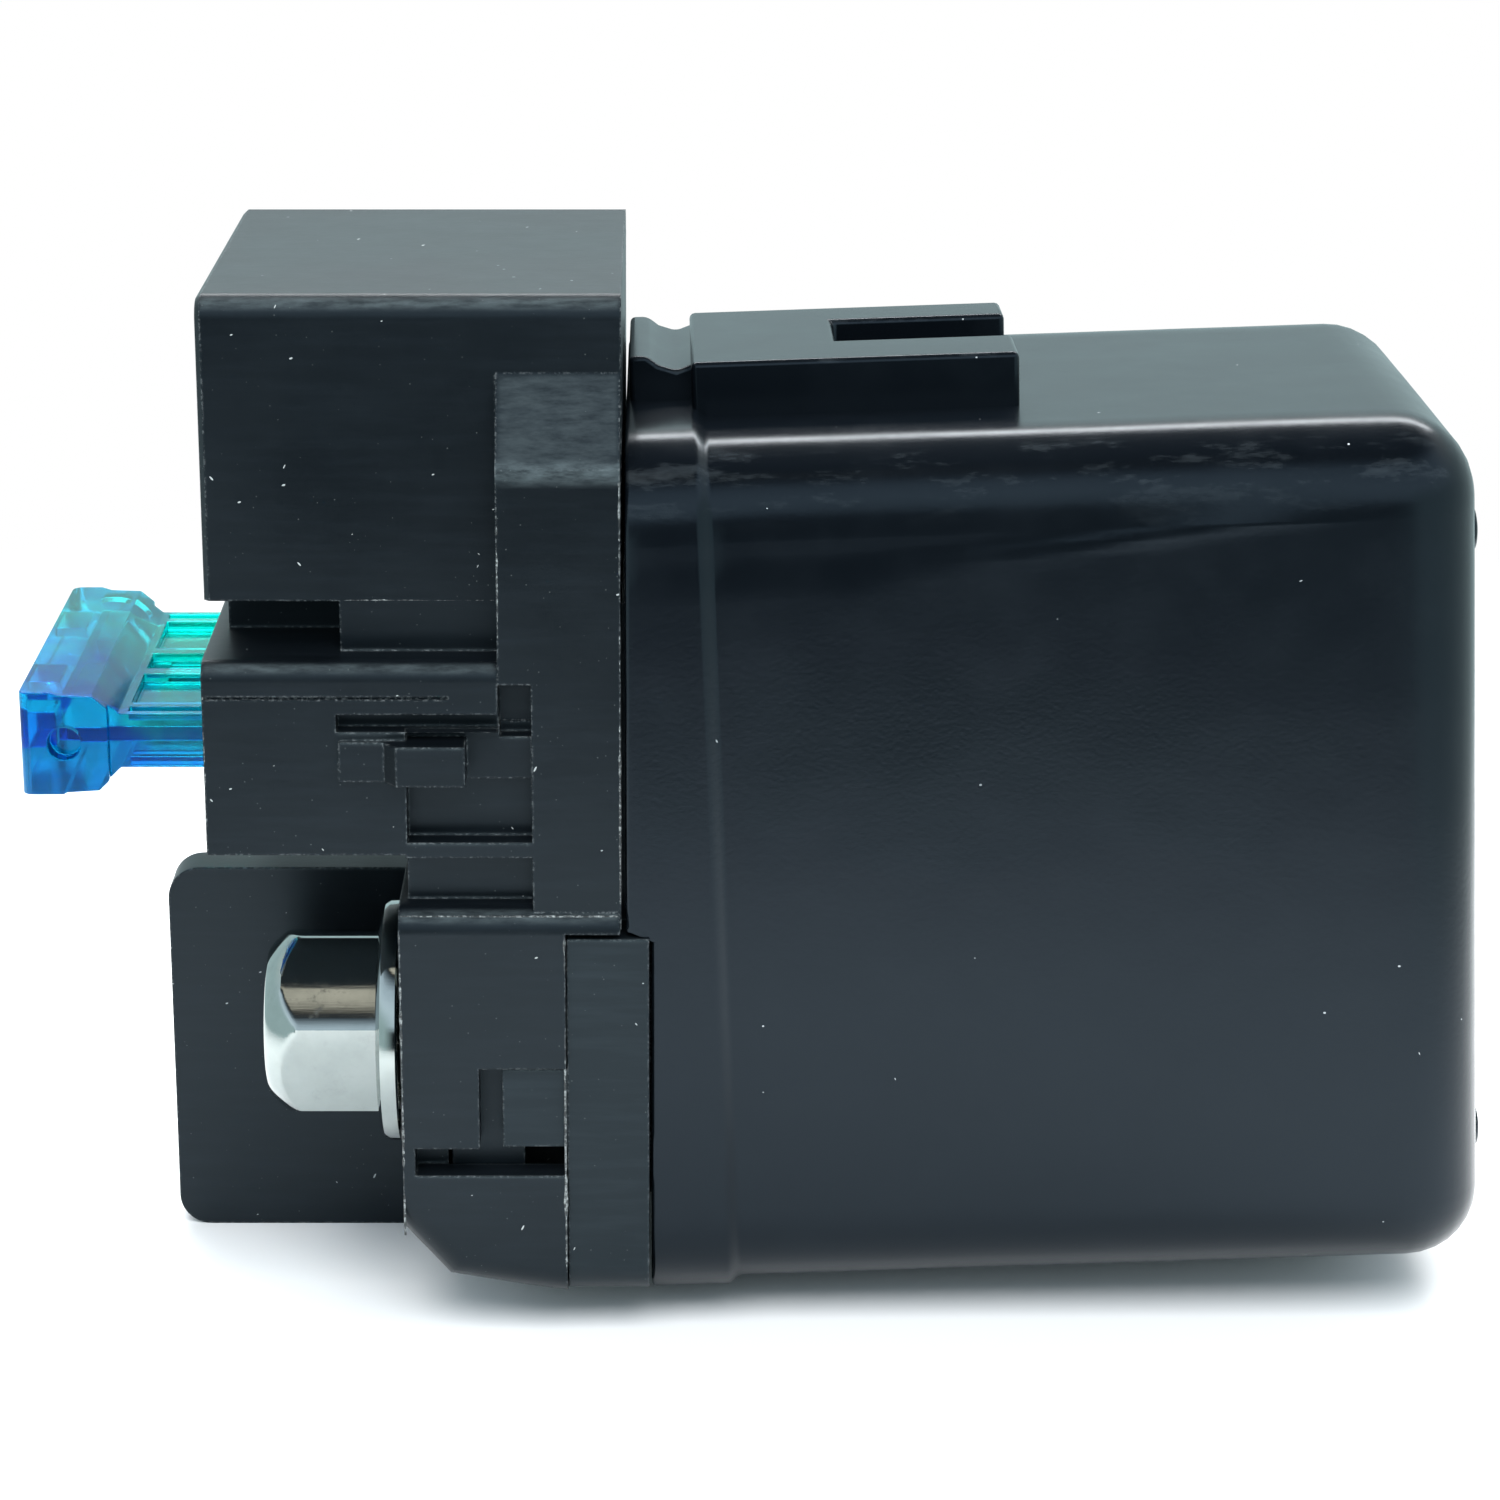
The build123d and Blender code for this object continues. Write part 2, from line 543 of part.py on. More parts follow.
frame_right = coil_left + coil_length + 0.1 + plate_thickness
with BuildPart() as yoke_frame:
    for z0 in (axis_z - 12.4, axis_z + 11.0):
        bar(coil_left + 0.0, frame_right, -6.0, 6.0, z0, z0 + 1.4)
    bar(frame_right - plate_thickness, frame_right, -6.0, 6.0, axis_z - 12.4, axis_z + 12.4)
    disc(frame_right - 3, frame_right + 1, 0, axis_z, core_radius + 0.3, Mode.SUBTRACT)
yoke_frame.part.move(datum)
yoke_frame.part.label = "yoke_frame"
export_step(yoke_frame.part, "parts/yoke_frame.step")

with BuildPart() as fixed_core:
    disc(coil_left, core_right, 0, axis_z, core_radius)
    chamfer(fixed_core.edges().filter_by(GeomType.CIRCLE), 0.3)
    disc(coil_left - 1, core_right + 1, 0, axis_z, rod_radius + bore_clearance, Mode.SUBTRACT)
    disc(core_right - 3.0, core_right + 1, 0, axis_z, 3.2, Mode.SUBTRACT)
fixed_core.part.move(datum)
fixed_core.part.label = "fixed_core"
export_step(fixed_core.part, "parts/fixed_core.step")

# ---- coil ----------------------------------------------------------------
coil_right = coil_left + coil_length
with BuildPart() as coil_bobbin:
    disc(coil_left, coil_right, 0, axis_z, 5.5)
    disc(coil_left, coil_left + 1.2, 0, axis_z, 10.4)
    disc(coil_right - 1.2, coil_right, 0, axis_z, 10.4)
    disc(coil_left - 1, coil_right + 1, 0, axis_z, core_radius + 0.07, Mode.SUBTRACT)
    for y in (-7.6, 7.6):
        bar(coil_left - 0.1, coil_left + 1.3, y - 0.7, y + 0.7, 28.0, 34, Mode.SUBTRACT)
coil_bobbin.part.move(datum)
coil_bobbin.part.label = "coil_bobbin"
export_step(coil_bobbin.part, "parts/coil_bobbin.step")

with BuildPart() as coil_winding:
    disc(coil_left + 1.25, coil_right - 1.25, 0, axis_z, 9.6)
    disc(coil_left, coil_right, 0, axis_z, 5.55, Mode.SUBTRACT)
coil_winding.part.move(datum)
coil_winding.part.label = "coil_winding"
export_step(coil_winding.part, "parts/coil_winding.step")

with BuildPart() as coil_wrap:
    disc(coil_left + 1.4, coil_right - 1.4, 0, axis_z, 9.95)
    disc(coil_left, coil_right, 0, axis_z, 9.65, Mode.SUBTRACT)
coil_wrap.part.move(datum)
coil_wrap.part.label = "coil_wrap"
export_step(coil_wrap.part, "parts/coil_wrap.step")

# ---- plunger, rod, collar and springs ------------------------------------
plunger_right = plunger_left + plunger_length
with BuildPart() as plunger:
    disc(plunger_left, plunger_right, 0, axis_z, core_radius)
    chamfer(plunger.edges().filter_by(GeomType.CIRCLE), 0.3)
    disc(plunger_left - 1, plunger_left + 2.6, 0, axis_z, 3.2, Mode.SUBTRACT)
    disc(plunger_left, plunger_left + 6.0, 0, axis_z, rod_radius + 0.02, Mode.SUBTRACT)
plunger.part.move(datum)
plunger.part.label = "plunger"
export_step(plunger.part, "parts/plunger.step")

with BuildPart() as push_rod:
    disc(-0.5, plunger_left + 6.0, 0, axis_z, rod_radius)
    chamfer(push_rod.edges().filter_by(GeomType.CIRCLE), 0.2)
    disc(0.0, 0.5, 0, axis_z, 2.5, Mode.SUBTRACT)
    disc(-0.1, 0.6, 0, axis_z, 1.1)
push_rod.part.move(datum)
push_rod.part.label = "push_rod"
export_step(push_rod.part, "parts/push_rod.step")

with BuildPart() as rod_collar:
    disc(6.1, 6.9, 0, axis_z, 3.4)
    disc(5, 8, 0, axis_z, rod_radius + 0.02, Mode.SUBTRACT)
rod_collar.part.move(datum)
rod_collar.part.label = "rod_collar"
export_step(rod_collar.part, "parts/rod_collar.step")


spring_wire = 0.3
for name, x0, x1, turns, mean_radius in (
        ("return_spring", core_right - 2.95, plunger_left + 2.55, 5, 2.4),
        ("contact_spring", bridge_left + bridge_thickness + 0.05, 6.05, 3, 2.6)):
    length = x1 - x0 - 2 * spring_wire
    with BuildPart() as spring:
        with BuildLine():
            wire = Helix(length / turns, length, mean_radius,
                         center=(x0 + spring_wire, 0, axis_z), direction=(1, 0, 0))
        with BuildSketch(Plane(origin=wire @ 0, z_dir=wire % 0)):
            Circle(spring_wire)
        sweep(is_frenet=True)
    spring.part.move(datum)
    spring.part.label = name
    export_step(spring.part, "parts/" + name + ".step")

# ---- moving contact and its clip -----------------------------------------
with BuildPart() as contact_bridge:
    with BuildSketch(yz_plane(bridge_left)):
        with Locations((0, axis_z)):
            RectangleRounded(18.6, 6.0, 1.5)
            Circle(rod_radius + bore_clearance, mode=Mode.SUBTRACT)
    extrude(amount=bridge_thickness)
contact_bridge.part.move(datum)
contact_bridge.part.label = "contact_bridge"
export_step(contact_bridge.part, "parts/contact_bridge.step")

with BuildPart() as bridge_clip:
    with BuildSketch(yz_plane(0.05)):
        with Locations((0, axis_z)):
            Circle(2.7)
            Circle(1.12, mode=Mode.SUBTRACT)
        with Locations((0, axis_z - 2)):
            Rectangle(1.8, 4, mode=Mode.SUBTRACT)
    extrude(amount=0.4)
bridge_clip.part.move(datum)
bridge_clip.part.label = "bridge_clip"
export_step(bridge_clip.part, "parts/bridge_clip.step")
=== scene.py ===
import json
import math

import bmesh
import bpy
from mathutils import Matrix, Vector, noise as lattice


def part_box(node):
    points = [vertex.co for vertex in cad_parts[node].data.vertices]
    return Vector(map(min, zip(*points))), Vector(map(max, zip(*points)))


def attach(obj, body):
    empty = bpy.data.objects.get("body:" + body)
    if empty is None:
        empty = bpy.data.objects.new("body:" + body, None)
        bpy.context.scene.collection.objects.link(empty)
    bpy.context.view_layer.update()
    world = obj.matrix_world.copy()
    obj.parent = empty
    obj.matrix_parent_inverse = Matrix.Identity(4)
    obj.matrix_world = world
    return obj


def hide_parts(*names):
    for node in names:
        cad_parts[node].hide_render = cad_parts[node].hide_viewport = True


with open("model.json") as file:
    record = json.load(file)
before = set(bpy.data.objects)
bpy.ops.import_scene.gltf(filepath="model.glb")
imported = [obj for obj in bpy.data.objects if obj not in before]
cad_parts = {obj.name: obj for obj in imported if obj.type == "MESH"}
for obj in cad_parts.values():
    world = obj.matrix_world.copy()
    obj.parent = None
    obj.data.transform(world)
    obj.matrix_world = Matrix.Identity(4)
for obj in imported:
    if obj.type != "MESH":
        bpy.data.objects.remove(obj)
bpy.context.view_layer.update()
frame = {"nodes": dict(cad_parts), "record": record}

NODES = frame["nodes"]
MM = 0.001

# ---------------------------------------------------------------- shared sizes
# millimetres, in the CAD frame: -Y is the photographed side, Z is up
DATUM = -0.993            # shift along X from the sketch numbers of the CAD to its frame
STRAP_OUT = 13.3          # only the side straps reach further out than this at the bend
STRAP_BEND = 43.1         # height where the straps start to slope in

# the boot: its foot, its outline and where its rim, groove and closed end lie along it
TILT = math.radians(2.0)  # the boot's long edges rise this much
FOOT = Vector((-4.17 + DATUM, 0, 1.45))
BOOT_HALF, BOOT_HEIGHT = 14.0, 42.25
BOOT_EDGE, END_EDGE = 4.0, 3.6           # radii of the long edges and of the end's edges
RIM_PROUD = 0.4                          # how far the mouth's rim stands off
RIM_BACK, RIM_STEP_END = -0.35, 0.64     # where the rim starts to fall, and where it ends
UPPER_MOUTH, LOWER_MOUTH, NOTCH_Z = -5.5 + DATUM, -4.3 + DATUM, 20.9
CAVITY_HALF, CAVITY_LOW, CAVITY_HIGH, CAVITY_END = 12.1, 5.25, 41.45, 33.3 + DATUM
CAVITY_EDGE = 3.1                        # radius of the cavity's long edges
SIDE_ROWS, TOP_COLUMNS, LONG_STEPS, END_STEPS = 46, 22, 44, 8   # fineness of the skin
NUB_Y, NUB_HEIGHTS, NUB_SIDES = -9, (36.3, 6.0), 24

# the terminal bolts
BOLT_Y, BOLT_Z = 8.0, 14.0
HEX_ACROSS, HEX_CORNER, HEX_LENGTH, HEX_TURN = 8.7, 4.95, 5.5, math.radians(44.5)
CROWN_LENGTH, CROWN_STEPS, HEX_STEPS = 1.9, 18, 8
FLANGE_LENGTH, FLANGE_RADIUS = 1.1, 5.9
THREAD_RADIUS, THREAD_DEPTH, THREAD_PITCH, THREAD_STEP = 2.5, 0.42, 1.0, 0.125
BOLT_SIDES = 96

# the blade fuse, in metres: where its colour turns from blue to green, painted as light coming
# through
FUSE_BLUE_X, FUSE_GREEN_X, FUSE_LOW_Z = -0.0322, -0.0290, 0.0287


# ---------------------------------------------------------------- mesh helpers
def clamp(value, low, high):
    return max(low, min(high, value))


def smooth_step(value, low, high):
    """Rises smoothly from 0 at low to 1 at high."""
    t = clamp((value - low) / (high - low), 0.0, 1.0)
    return t * t * (3 - 2 * t)


def lump(x, y, z, size, seed=0.0):
    """Smooth noise from about -1 to 1, with features of that size."""
    return lattice.noise(Vector((x / size + seed, y / size - seed, z / size + 2 * seed)))


def piece(name, shells, body, look, replaces=(), sharp=35):
    """One object from (points in mm, faces) shells, riding on a CAD body."""
    points, faces = [], []
    for shell_points, shell_faces in shells:
        start = len(points)
        points += [Vector(p) * MM for p in shell_points]
        faces += [tuple(start + k for k in f) for f in shell_faces]
    mesh = bpy.data.meshes.new(name)
    mesh.from_pydata(points, [], faces)
    work = bmesh.new()
    work.from_mesh(mesh)
    bmesh.ops.recalc_face_normals(work, faces=work.faces)
    work.to_mesh(mesh)
    work.free()
    mesh.shade_smooth()
    mesh.set_sharp_from_angle(angle=math.radians(sharp))
    mesh.materials.append(look)
    obj = bpy.data.objects.new(name, mesh)
    bpy.context.scene.collection.objects.link(obj)
    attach(obj, body)
    if replaces:
        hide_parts(*replaces)
    return obj


def even_shading(obj):
    """Lets the large faces set the shading of the small faces beside them."""
    shading = obj.modifiers.new("shading", "WEIGHTED_NORMAL")
    shading.weight = 90
    shading.keep_sharp = True


def loft(rings, cap_first=True, cap_last=True):
    """Closed skin through rings of the same number of points."""
    count = len(rings[0])
    points = [p for ring in rings for p in ring]
    faces = []
    for r in range(len(rings) - 1):
        for k in range(count):
            a, b = r * count + k, r * count + (k + 1) % count
            faces.append((a, b, b + count, a + count))
    if cap_first:
        faces.append(tuple(range(count)))
    if cap_last:
        faces.append(tuple(range(len(points) - count, len(points))))
    return points, faces


def lathe(profile, y, z, sides=48, radius=None):
    """Skin turned about an axis along X. radius(x, r, angle) may reshape a ring."""
    rings = []
    for x, r in profile:
        ring = []
        for k in range(sides):
            angle = 2 * math.pi * k / sides
            reach = radius(x, r, angle) if radius else r
            ring.append(Vector((x, y + reach * math.cos(angle), z + reach * math.sin(angle))))
        rings.append(ring)
    return loft(rings)


def bevelled(shell, width, segments=3, angle=25):
    """The shell with its sharp edges rounded."""
    work = bmesh.new()
    verts = [work.verts.new(p) for p in shell[0]]
    for f in shell[1]:
        work.faces.new([verts[k] for k in f])
    bmesh.ops.recalc_face_normals(work, faces=work.faces)
    edges = [e for e in work.edges if len(e.link_faces) == 2
             and e.calc_face_angle() > math.radians(angle)]
    bmesh.ops.bevel(work, geom=edges, offset=width, segments=segments, profile=0.5,
                    affect="EDGES", clamp_overlap=True)
    work.verts.ensure_lookup_table()
    work.verts.index_update()
    points = [v.co.copy() for v in work.verts]
    faces = [tuple(v.index for v in f.verts) for f in work.faces]
    work.free()
    return points, faces


# ---------------------------------------------------------------- boot
def boot_place(x, y, z):
    """Point given along, across and above the boot's own foot."""
    return Vector((FOOT.x + x * math.cos(TILT) - z * math.sin(TILT), y,
                   FOOT.z + x * math.sin(TILT) + z * math.cos(TILT)))


def boot_end(z):
    """Where the closed end lies along the boot, at a height above its foot."""
    return 40.54 - 1.18 * z / BOOT_HEIGHT


def boot_rim(z):
    """Where the rim's step lies along the boot, at a height above its foot."""
    return 3.72 - 0.29 * z / BOOT_HEIGHT


def section(inset, corner_steps=8):
    """Rounded outline at an inset, as (y, z, outward y, outward z).

    It starts at the low front corner and goes up. All insets give the same number of points.
    """
    radius = max(BOOT_EDGE - inset, 0.4)
    half = BOOT_HALF - inset
    low, high = inset, BOOT_HEIGHT - inset
    notch = -(UPPER_MOUTH - FOOT.x) * math.sin(TILT) + (NOTCH_Z - FOOT.z) * math.cos(TILT)
    flat = [BOOT_EDGE + (BOOT_HEIGHT - 2 * BOOT_EDGE) * k / SIDE_ROWS
            for k in range(1, SIDE_ROWS)]
    flat = sorted([z for z in flat if abs(z - notch) > 0.35] + [notch - 0.02, notch + 0.02]
                  + [BOOT_HEIGHT - BOOT_EDGE - d for d in (0.2, 0.55, 1.15)])
    across = [-10 + 20 * k / TOP_COLUMNS for k in range(1, TOP_COLUMNS)]  # tenths of the half
    out = []
    for side in (-1, 1):
        for z in (flat if side < 0 else flat[::-1]):
            out.append((side * half, z, side, 0))
        turns = ((-1, 1), (1, 1)) if side < 0 else ((1, -1), (-1, -1))
        for corner, (sy, sz) in enumerate(turns):
            centre_y = sy * (half - radius)
            centre_z = (high - radius) if sz > 0 else (low + radius)
            for k in range(corner_steps + 1):
                a = math.pi / 2 * k / corner_steps
                if corner == 0:
                    ny, nz = sy * math.cos(a), sz * math.sin(a)
                else:
                    ny, nz = sy * math.sin(a), sz * math.cos(a)
                out.append((centre_y + radius * ny, centre_z + radius * nz, ny, nz))
            if corner == 0:
                for y in (across if side < 0 else across[::-1]):
                    out.append((y * (half - radius) / 10, high if sz > 0 else low, 0, sz))
    return out


def boot_swell(x, y, z, ny, nz):
    """How far the rubber stands off its plain outline, outward in mm."""
    swell = 0.035 * lump(x, y, z, 9.0, 3.1) + 0.010 * lump(x, y, z, 2.6, 7.7)
    side = abs(ny)
    if side > 0.6 and z > 30:
        line = 35.1 + 0.109 * x if x > 10 else 36.2
        ridge = math.exp(-((z - line) / 0.34) ** 2) * smooth_step(x, 12, 24)
        hollow = smooth_step(z, line, line + 0.9) * (1 - smooth_step(z, 39.3, 40.3))
        swell += side * (0.055 * ridge - 0.12 * hollow)
    swell -= 0.10 * side * math.sin(math.pi * clamp(z / BOOT_HEIGHT, 0, 1)) * \
        math.sin(math.pi * clamp((x - 4) / 34, 0, 1))
    return swell


def boot_skin():
    """The boot as one closed skin: its cavity, then its mouth, rim, sides and closed end."""
    base = section(0)
    outer = []

    def ring(inset, where, proud=0.0, swell=1.0):
        """Outer ring at the place along the boot that where(height) gives."""
        points = []
        for (y, z, ny, nz) in section(inset):
            x = where(z)
            off = proud + swell * boot_swell(x, y, z, ny, nz)
            points.append(boot_place(x, y + off * ny, z + off * nz))
        return points

    def mouth_x(z, extra):
        """Where the open end lies along the boot, stepped at the notch."""
        low = (FOOT.z + z) < NOTCH_Z
        plane = LOWER_MOUTH if low else UPPER_MOUTH
        return (plane - FOOT.x + z * math.sin(TILT)) / math.cos(TILT) + extra

    for extra, inset in ((0.0, 0.22), (0.07, 0.07), (0.22, 0.0)):
        outer.append(ring(0, lambda z, e=extra: mouth_x(z, e), RIM_PROUD - inset, 0.3))
    for share in (0.25, 0.5, 0.75):
        outer.append(ring(0, lambda z, s=share: mouth_x(z, 0.22) * (1 - s)
                          + (boot_rim(z) + RIM_BACK) * s, RIM_PROUD, 0.5))
    for back, proud in ((RIM_BACK, 0.0), (-0.2, 0.02), (-0.06, 0.01), (0.08, -0.06), (0.22, -0.15),
                        (0.36, -0.26), (0.5, -0.36), (RIM_STEP_END, -RIM_PROUD)):
        outer.append(ring(0, lambda z, b=back: boot_rim(z) + b, RIM_PROUD + proud, 0.6))
    for k in range(1, LONG_STEPS + 1):
        outer.append(ring(0, lambda z, s=k / LONG_STEPS: (boot_rim(z) + RIM_STEP_END) * (1 - s)
                          + (boot_end(z) - END_EDGE) * s))
    for k in range(1, END_STEPS + 1):
        a = math.pi / 2 * k / END_STEPS
        outer.append(ring(END_EDGE * (1 - math.cos(a)),
                          lambda z, c=math.sin(a): boot_end(z) - END_EDGE * (1 - c),
                          0.0, 1 - 0.6 * k / END_STEPS))
    last = section(END_EDGE)
    for share in (0.8, 0.6, 0.4, 0.2, 0.04):
        points = []
        for (y, z, ny, nz) in last:
            yy, zz = y * share, BOOT_HEIGHT / 2 + (z - BOOT_HEIGHT / 2) * share
            x = boot_end(zz) + 0.05 * lump(0, yy, zz, 7.0, 1.3)
            points.append(boot_place(x, yy, zz))
        outer.append(points)

    inner = []
    low, high = CAVITY_LOW + CAVITY_EDGE, CAVITY_HIGH - CAVITY_EDGE
    for share in (1.0, 0.75, 0.5, 0.25, 0.0):
        points = []
        for (y, z, ny, nz) in base:
            level = FOOT.z + z
            if abs(ny) == 1:
                if level < NOTCH_Z:
                    level = low + (NOTCH_Z - 0.02 - low) * (z - BOOT_EDGE) / (
                        NOTCH_Z - FOOT.z - BOOT_EDGE)
                else:
                    level = NOTCH_Z + 0.02 + (high - NOTCH_Z) * (z + FOOT.z - NOTCH_Z) / (
                        BOOT_HEIGHT - BOOT_EDGE + FOOT.z - NOTCH_Z)
                here = (ny * CAVITY_HALF, level)
            elif abs(nz) == 1:
                here = (y * 0.9, CAVITY_HIGH if nz > 0 else CAVITY_LOW)
            else:
                here = (math.copysign(CAVITY_HALF - CAVITY_EDGE, ny) + CAVITY_EDGE * ny,
                        (high if nz > 0 else low) + CAVITY_EDGE * nz)
            mouth = LOWER_MOUTH if FOOT.z + z < NOTCH_Z else UPPER_MOUTH
            points.append(Vector((mouth + (CAVITY_END - mouth) * share, *here)))
        inner.append(points)
    return loft(inner + outer)


def prism(outline, low, high, place):
    """Prism over an outline between two levels, through a placing function."""
    return loft([[place(a, b, level) for a, b in outline] for level in (low, high)])


def build_boot(look):
    """The boot's skin with its forked loop, the loop's neck and the two nubs."""
    top = BOOT_HEIGHT
    fork = [(3.3, -6.1), (18.8, -6.1), (18.8, -1.9), (10.3, -1.9), (10.3, 2.9), (18.8, 2.9),
            (18.8, 6.1), (3.3, 6.1)]
    neck = [(0.35, top - 0.6), (0.35, top + 2.55), (1.2, top + 2.55), (1.75, top + 2.1),
            (2.6, top + 1.8), (3.45, top + 2.1), (3.9, top + 2.5), (3.9, top - 0.6)]
    shells = [boot_skin(),
              bevelled(prism(fork, top - 0.6, top + 2.6, boot_place), 0.28),
              bevelled(prism(neck, -4.0, 5.8, lambda a, b, y: boot_place(a, y, b)), 0.25)]
    for z in NUB_HEIGHTS:
        start = boot_end(z)
        rings = []
        for along, radius in ((-0.3, 1.2), (0.0, 1.17), (0.18, 1.1), (0.28, 0.98), (0.34, 0.7),
                              (0.35, 0.2)):
            turns = [2 * math.pi * k / NUB_SIDES for k in range(NUB_SIDES)]
            rings.append([boot_place(start + along, NUB_Y + radius * math.cos(a),
                                     z + radius * math.sin(a)) for a in turns])
        shells.append(loft(rings))
    skin = piece("boot_skin", shells, "relay_body", look, ["rubber_boot"], 40)
    even_shading(skin)
    return skin


# ---------------------------------------------------------------- bolts
def build_bolt(side, y, look):
    """Flange bolt: dished hexagon head with a domed crown, flange and single thread."""
    low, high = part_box(side + "_bolt")
    x0, x1 = low.x / MM, high.x / MM
    edge = x0 + HEX_LENGTH            # back of the hexagon
    back = edge + FLANGE_LENGTH - 0.01
    start = edge + FLANGE_LENGTH      # start of the shank
    beyond = 5.2                      # wider than the hexagon, which cuts it down

    profile = [(x0 + 0.5, 0.05), (x0 + 0.5, 1.75), (x0 + 0.38, 1.9), (x0 + 0.06, 2.02),
               (x0, 2.12), (x0, 3.3)]
    for k in range(1, CROWN_STEPS + 1):
        share = (k / CROWN_STEPS) ** 1.3
        profile.append((x0 + CROWN_LENGTH * share, 3.4 + 1.6 * share ** 0.68))
    for k in range(1, HEX_STEPS):
        profile.append((x0 + CROWN_LENGTH + (HEX_LENGTH - CROWN_LENGTH) * k / HEX_STEPS, beyond))
    profile += [(edge - 0.001, beyond), (edge + 0.001, 4.4), (edge + 0.02, 5.1),
                (edge + 0.1, 5.5), (edge + 0.26, 5.78), (edge + 0.5, FLANGE_RADIUS),
                (start - 0.1, FLANGE_RADIUS), (back, FLANGE_RADIUS - 0.1), (back, 2.6)]
    x = start
    while x < x1 - 0.5:
        profile.append((x, THREAD_RADIUS))
        x += THREAD_STEP
    profile += [(x1 - 0.5, 2.3), (x1, 1.9), (x1, 0.05)]

    def hexagon(r, angle):
        """Radius r cut down to the crowned flats, with softened corners."""
        turn = (angle - HEX_TURN) % (math.pi / 3) - math.pi / 6
        bulge = 0.09 * (math.tan(turn) / math.tan(math.pi / 6)) ** 2
        flat = (HEX_ACROSS / 2 - bulge) / math.cos(turn)
        soft = 0.5 * (flat + HEX_CORNER - math.sqrt((flat - HEX_CORNER) ** 2 + 0.012))
        return min(r, soft)

    def shape(x, r, angle):
        if x <= edge:
            return hexagon(r, angle)
        if r == THREAD_RADIUS and x > start + 0.4:
            wave = (x / THREAD_PITCH - angle / (2 * math.pi)) % 1.0
            depth = THREAD_DEPTH * abs(2 * wave - 1)
            return THREAD_RADIUS - depth * smooth_step(x, start + 0.4, start + 1.2)
        return r

    return piece(side + "_bolt_skin", [lathe(profile, y, BOLT_Z, BOLT_SIDES, shape)],
                 side + "_bolt", look, [side + "_bolt"], 28)


# ---------------------------------------------------------------- walls behind the windows
def build_inner_walls(look):
    """Thin walls that close the view through the snap windows, on both sides."""
    inner, outer = 12.7, 13.2
    outline = [(-13.9, 7.6), (-10.4, 7.6), (-10.4, 19.8), (-13.9, 19.8)]   # along x and z
    shells = [prism(outline, side * inner, side * outer,
                    lambda x, z, y: Vector((x + DATUM, y, z))) for side in (-1, 1)]
    return piece("window_walls", shells, "relay_body", look)


# ---------------------------------------------------------------- moulding flash
def ridge(start, stop, first, second, size, seed, swelling=None):
    """Thin uneven bead along an edge between faces that look along first and second.

    swelling is (height, how much more the bead stands off there).
    """
    spacing, sides, sunk = 0.11, 6, 0.05
    start, stop, first, second = Vector(start), Vector(stop), Vector(first), Vector(second)
    start.x += DATUM
    stop.x += DATUM
    count = max(int((stop - start).length / spacing), 2)
    rings = []
    for k in range(count + 1):
        p = start.lerp(stop, k / count)
        rough = 0.5 + 0.5 * lump(p.x, p.y, p.z, 0.42, seed) + 0.35 * lump(p.x, p.y, p.z, 0.13, seed)
        slow = smooth_step(lump(p.x, p.y, p.z, 3.1, seed + 5), -0.45, 0.35)
        reach = 0.045 + size * clamp(rough, 0.0, 1.3) * (0.3 + 0.7 * slow)
        if swelling:
            reach += swelling[1] * math.exp(-((p.z - swelling[0]) / 0.5) ** 2)
        centre = p - sunk * (first + second)
        rings.append([centre + reach * (math.cos(a) * first + math.sin(a) * second)
                      for a in (2 * math.pi * j / sides + 0.26 for j in range(sides))])
    return loft(rings)


def build_flash(look):
    """Broken flash on the moulded edges of the head, on both sides."""
    shells = []
    left, right, up = (-1, 0, 0), (1, 0, 0), (0, 0, 1)
    for side in (-1, 1):
        out = (0, side, 0)
        # start, stop, the other way it faces, size and swelling of each bead
        lines = (((-16.2, 14.8, 5.5), (-16.2, 14.8, 20.9), left, 0.055, None),
                 ((-8.35, 14.8, 3.7), (-8.35, 14.8, 20.8), right, 0.05, (7.2, 0.06)),
                 ((-16.1, 14.48, 21.74), (-5.85, 14.48, 21.74), up, 0.035, None),
                 ((-5.7, 14.3, 22.3), (-5.7, 14.3, 42.6), right, 0.05, None),
                 ((-5.65, 12.0, 47.4), (-5.65, 12.0, 49.5), right, 0.03, None),
                 ((-11.4, 14.3, 34.1), (-11.4, 14.3, 42.6), left, 0.035, None),
                 ((-25.1, 14.3, 24.8), (-25.1, 14.3, 33.1), left, 0.03, None),
                 ((-18.6, 12.0, 36.4), (-11.6, 12.0, 36.4), (0, 0, -1), 0.03, None))
        for seed, (start, stop, way, size, swelling) in enumerate(lines):
            start, stop = [(p[0], side * p[1], p[2]) for p in (start, stop)]
            shells.append(ridge(start, stop, way, out, size, 3.3 * seed + side, swelling))
    return piece("head_flash", shells, "relay_body", look, (), 60)


# ---------------------------------------------------------------- shader helpers
def material(name):
    """A new material with a Principled shader. Returns (material, tree, shader)."""
    m = bpy.data.materials.new(name)
    m.use_nodes = True
    tree = m.node_tree
    tree.nodes.clear()
    out = tree.nodes.new("ShaderNodeOutputMaterial")
    shader = tree.nodes.new("ShaderNodeBsdfPrincipled")
    tree.links.new(shader.outputs[0], out.inputs[0])
    return m, tree, shader


def put(tree, socket, value):
    """Links a socket, or sets its value."""
    if isinstance(value, bpy.types.NodeSocket):
        tree.links.new(value, socket)
    else:
        socket.default_value = value


def node(tree, kind, inputs=(), **props):
    """A new shader node with its inputs linked or set, and its properties set."""
    n = tree.nodes.new("ShaderNode" + kind)
    for key, value in props.items():
        setattr(n, key, value)
    for key, value in dict(inputs).items():
        put(tree, n.inputs[key], value)
    return n


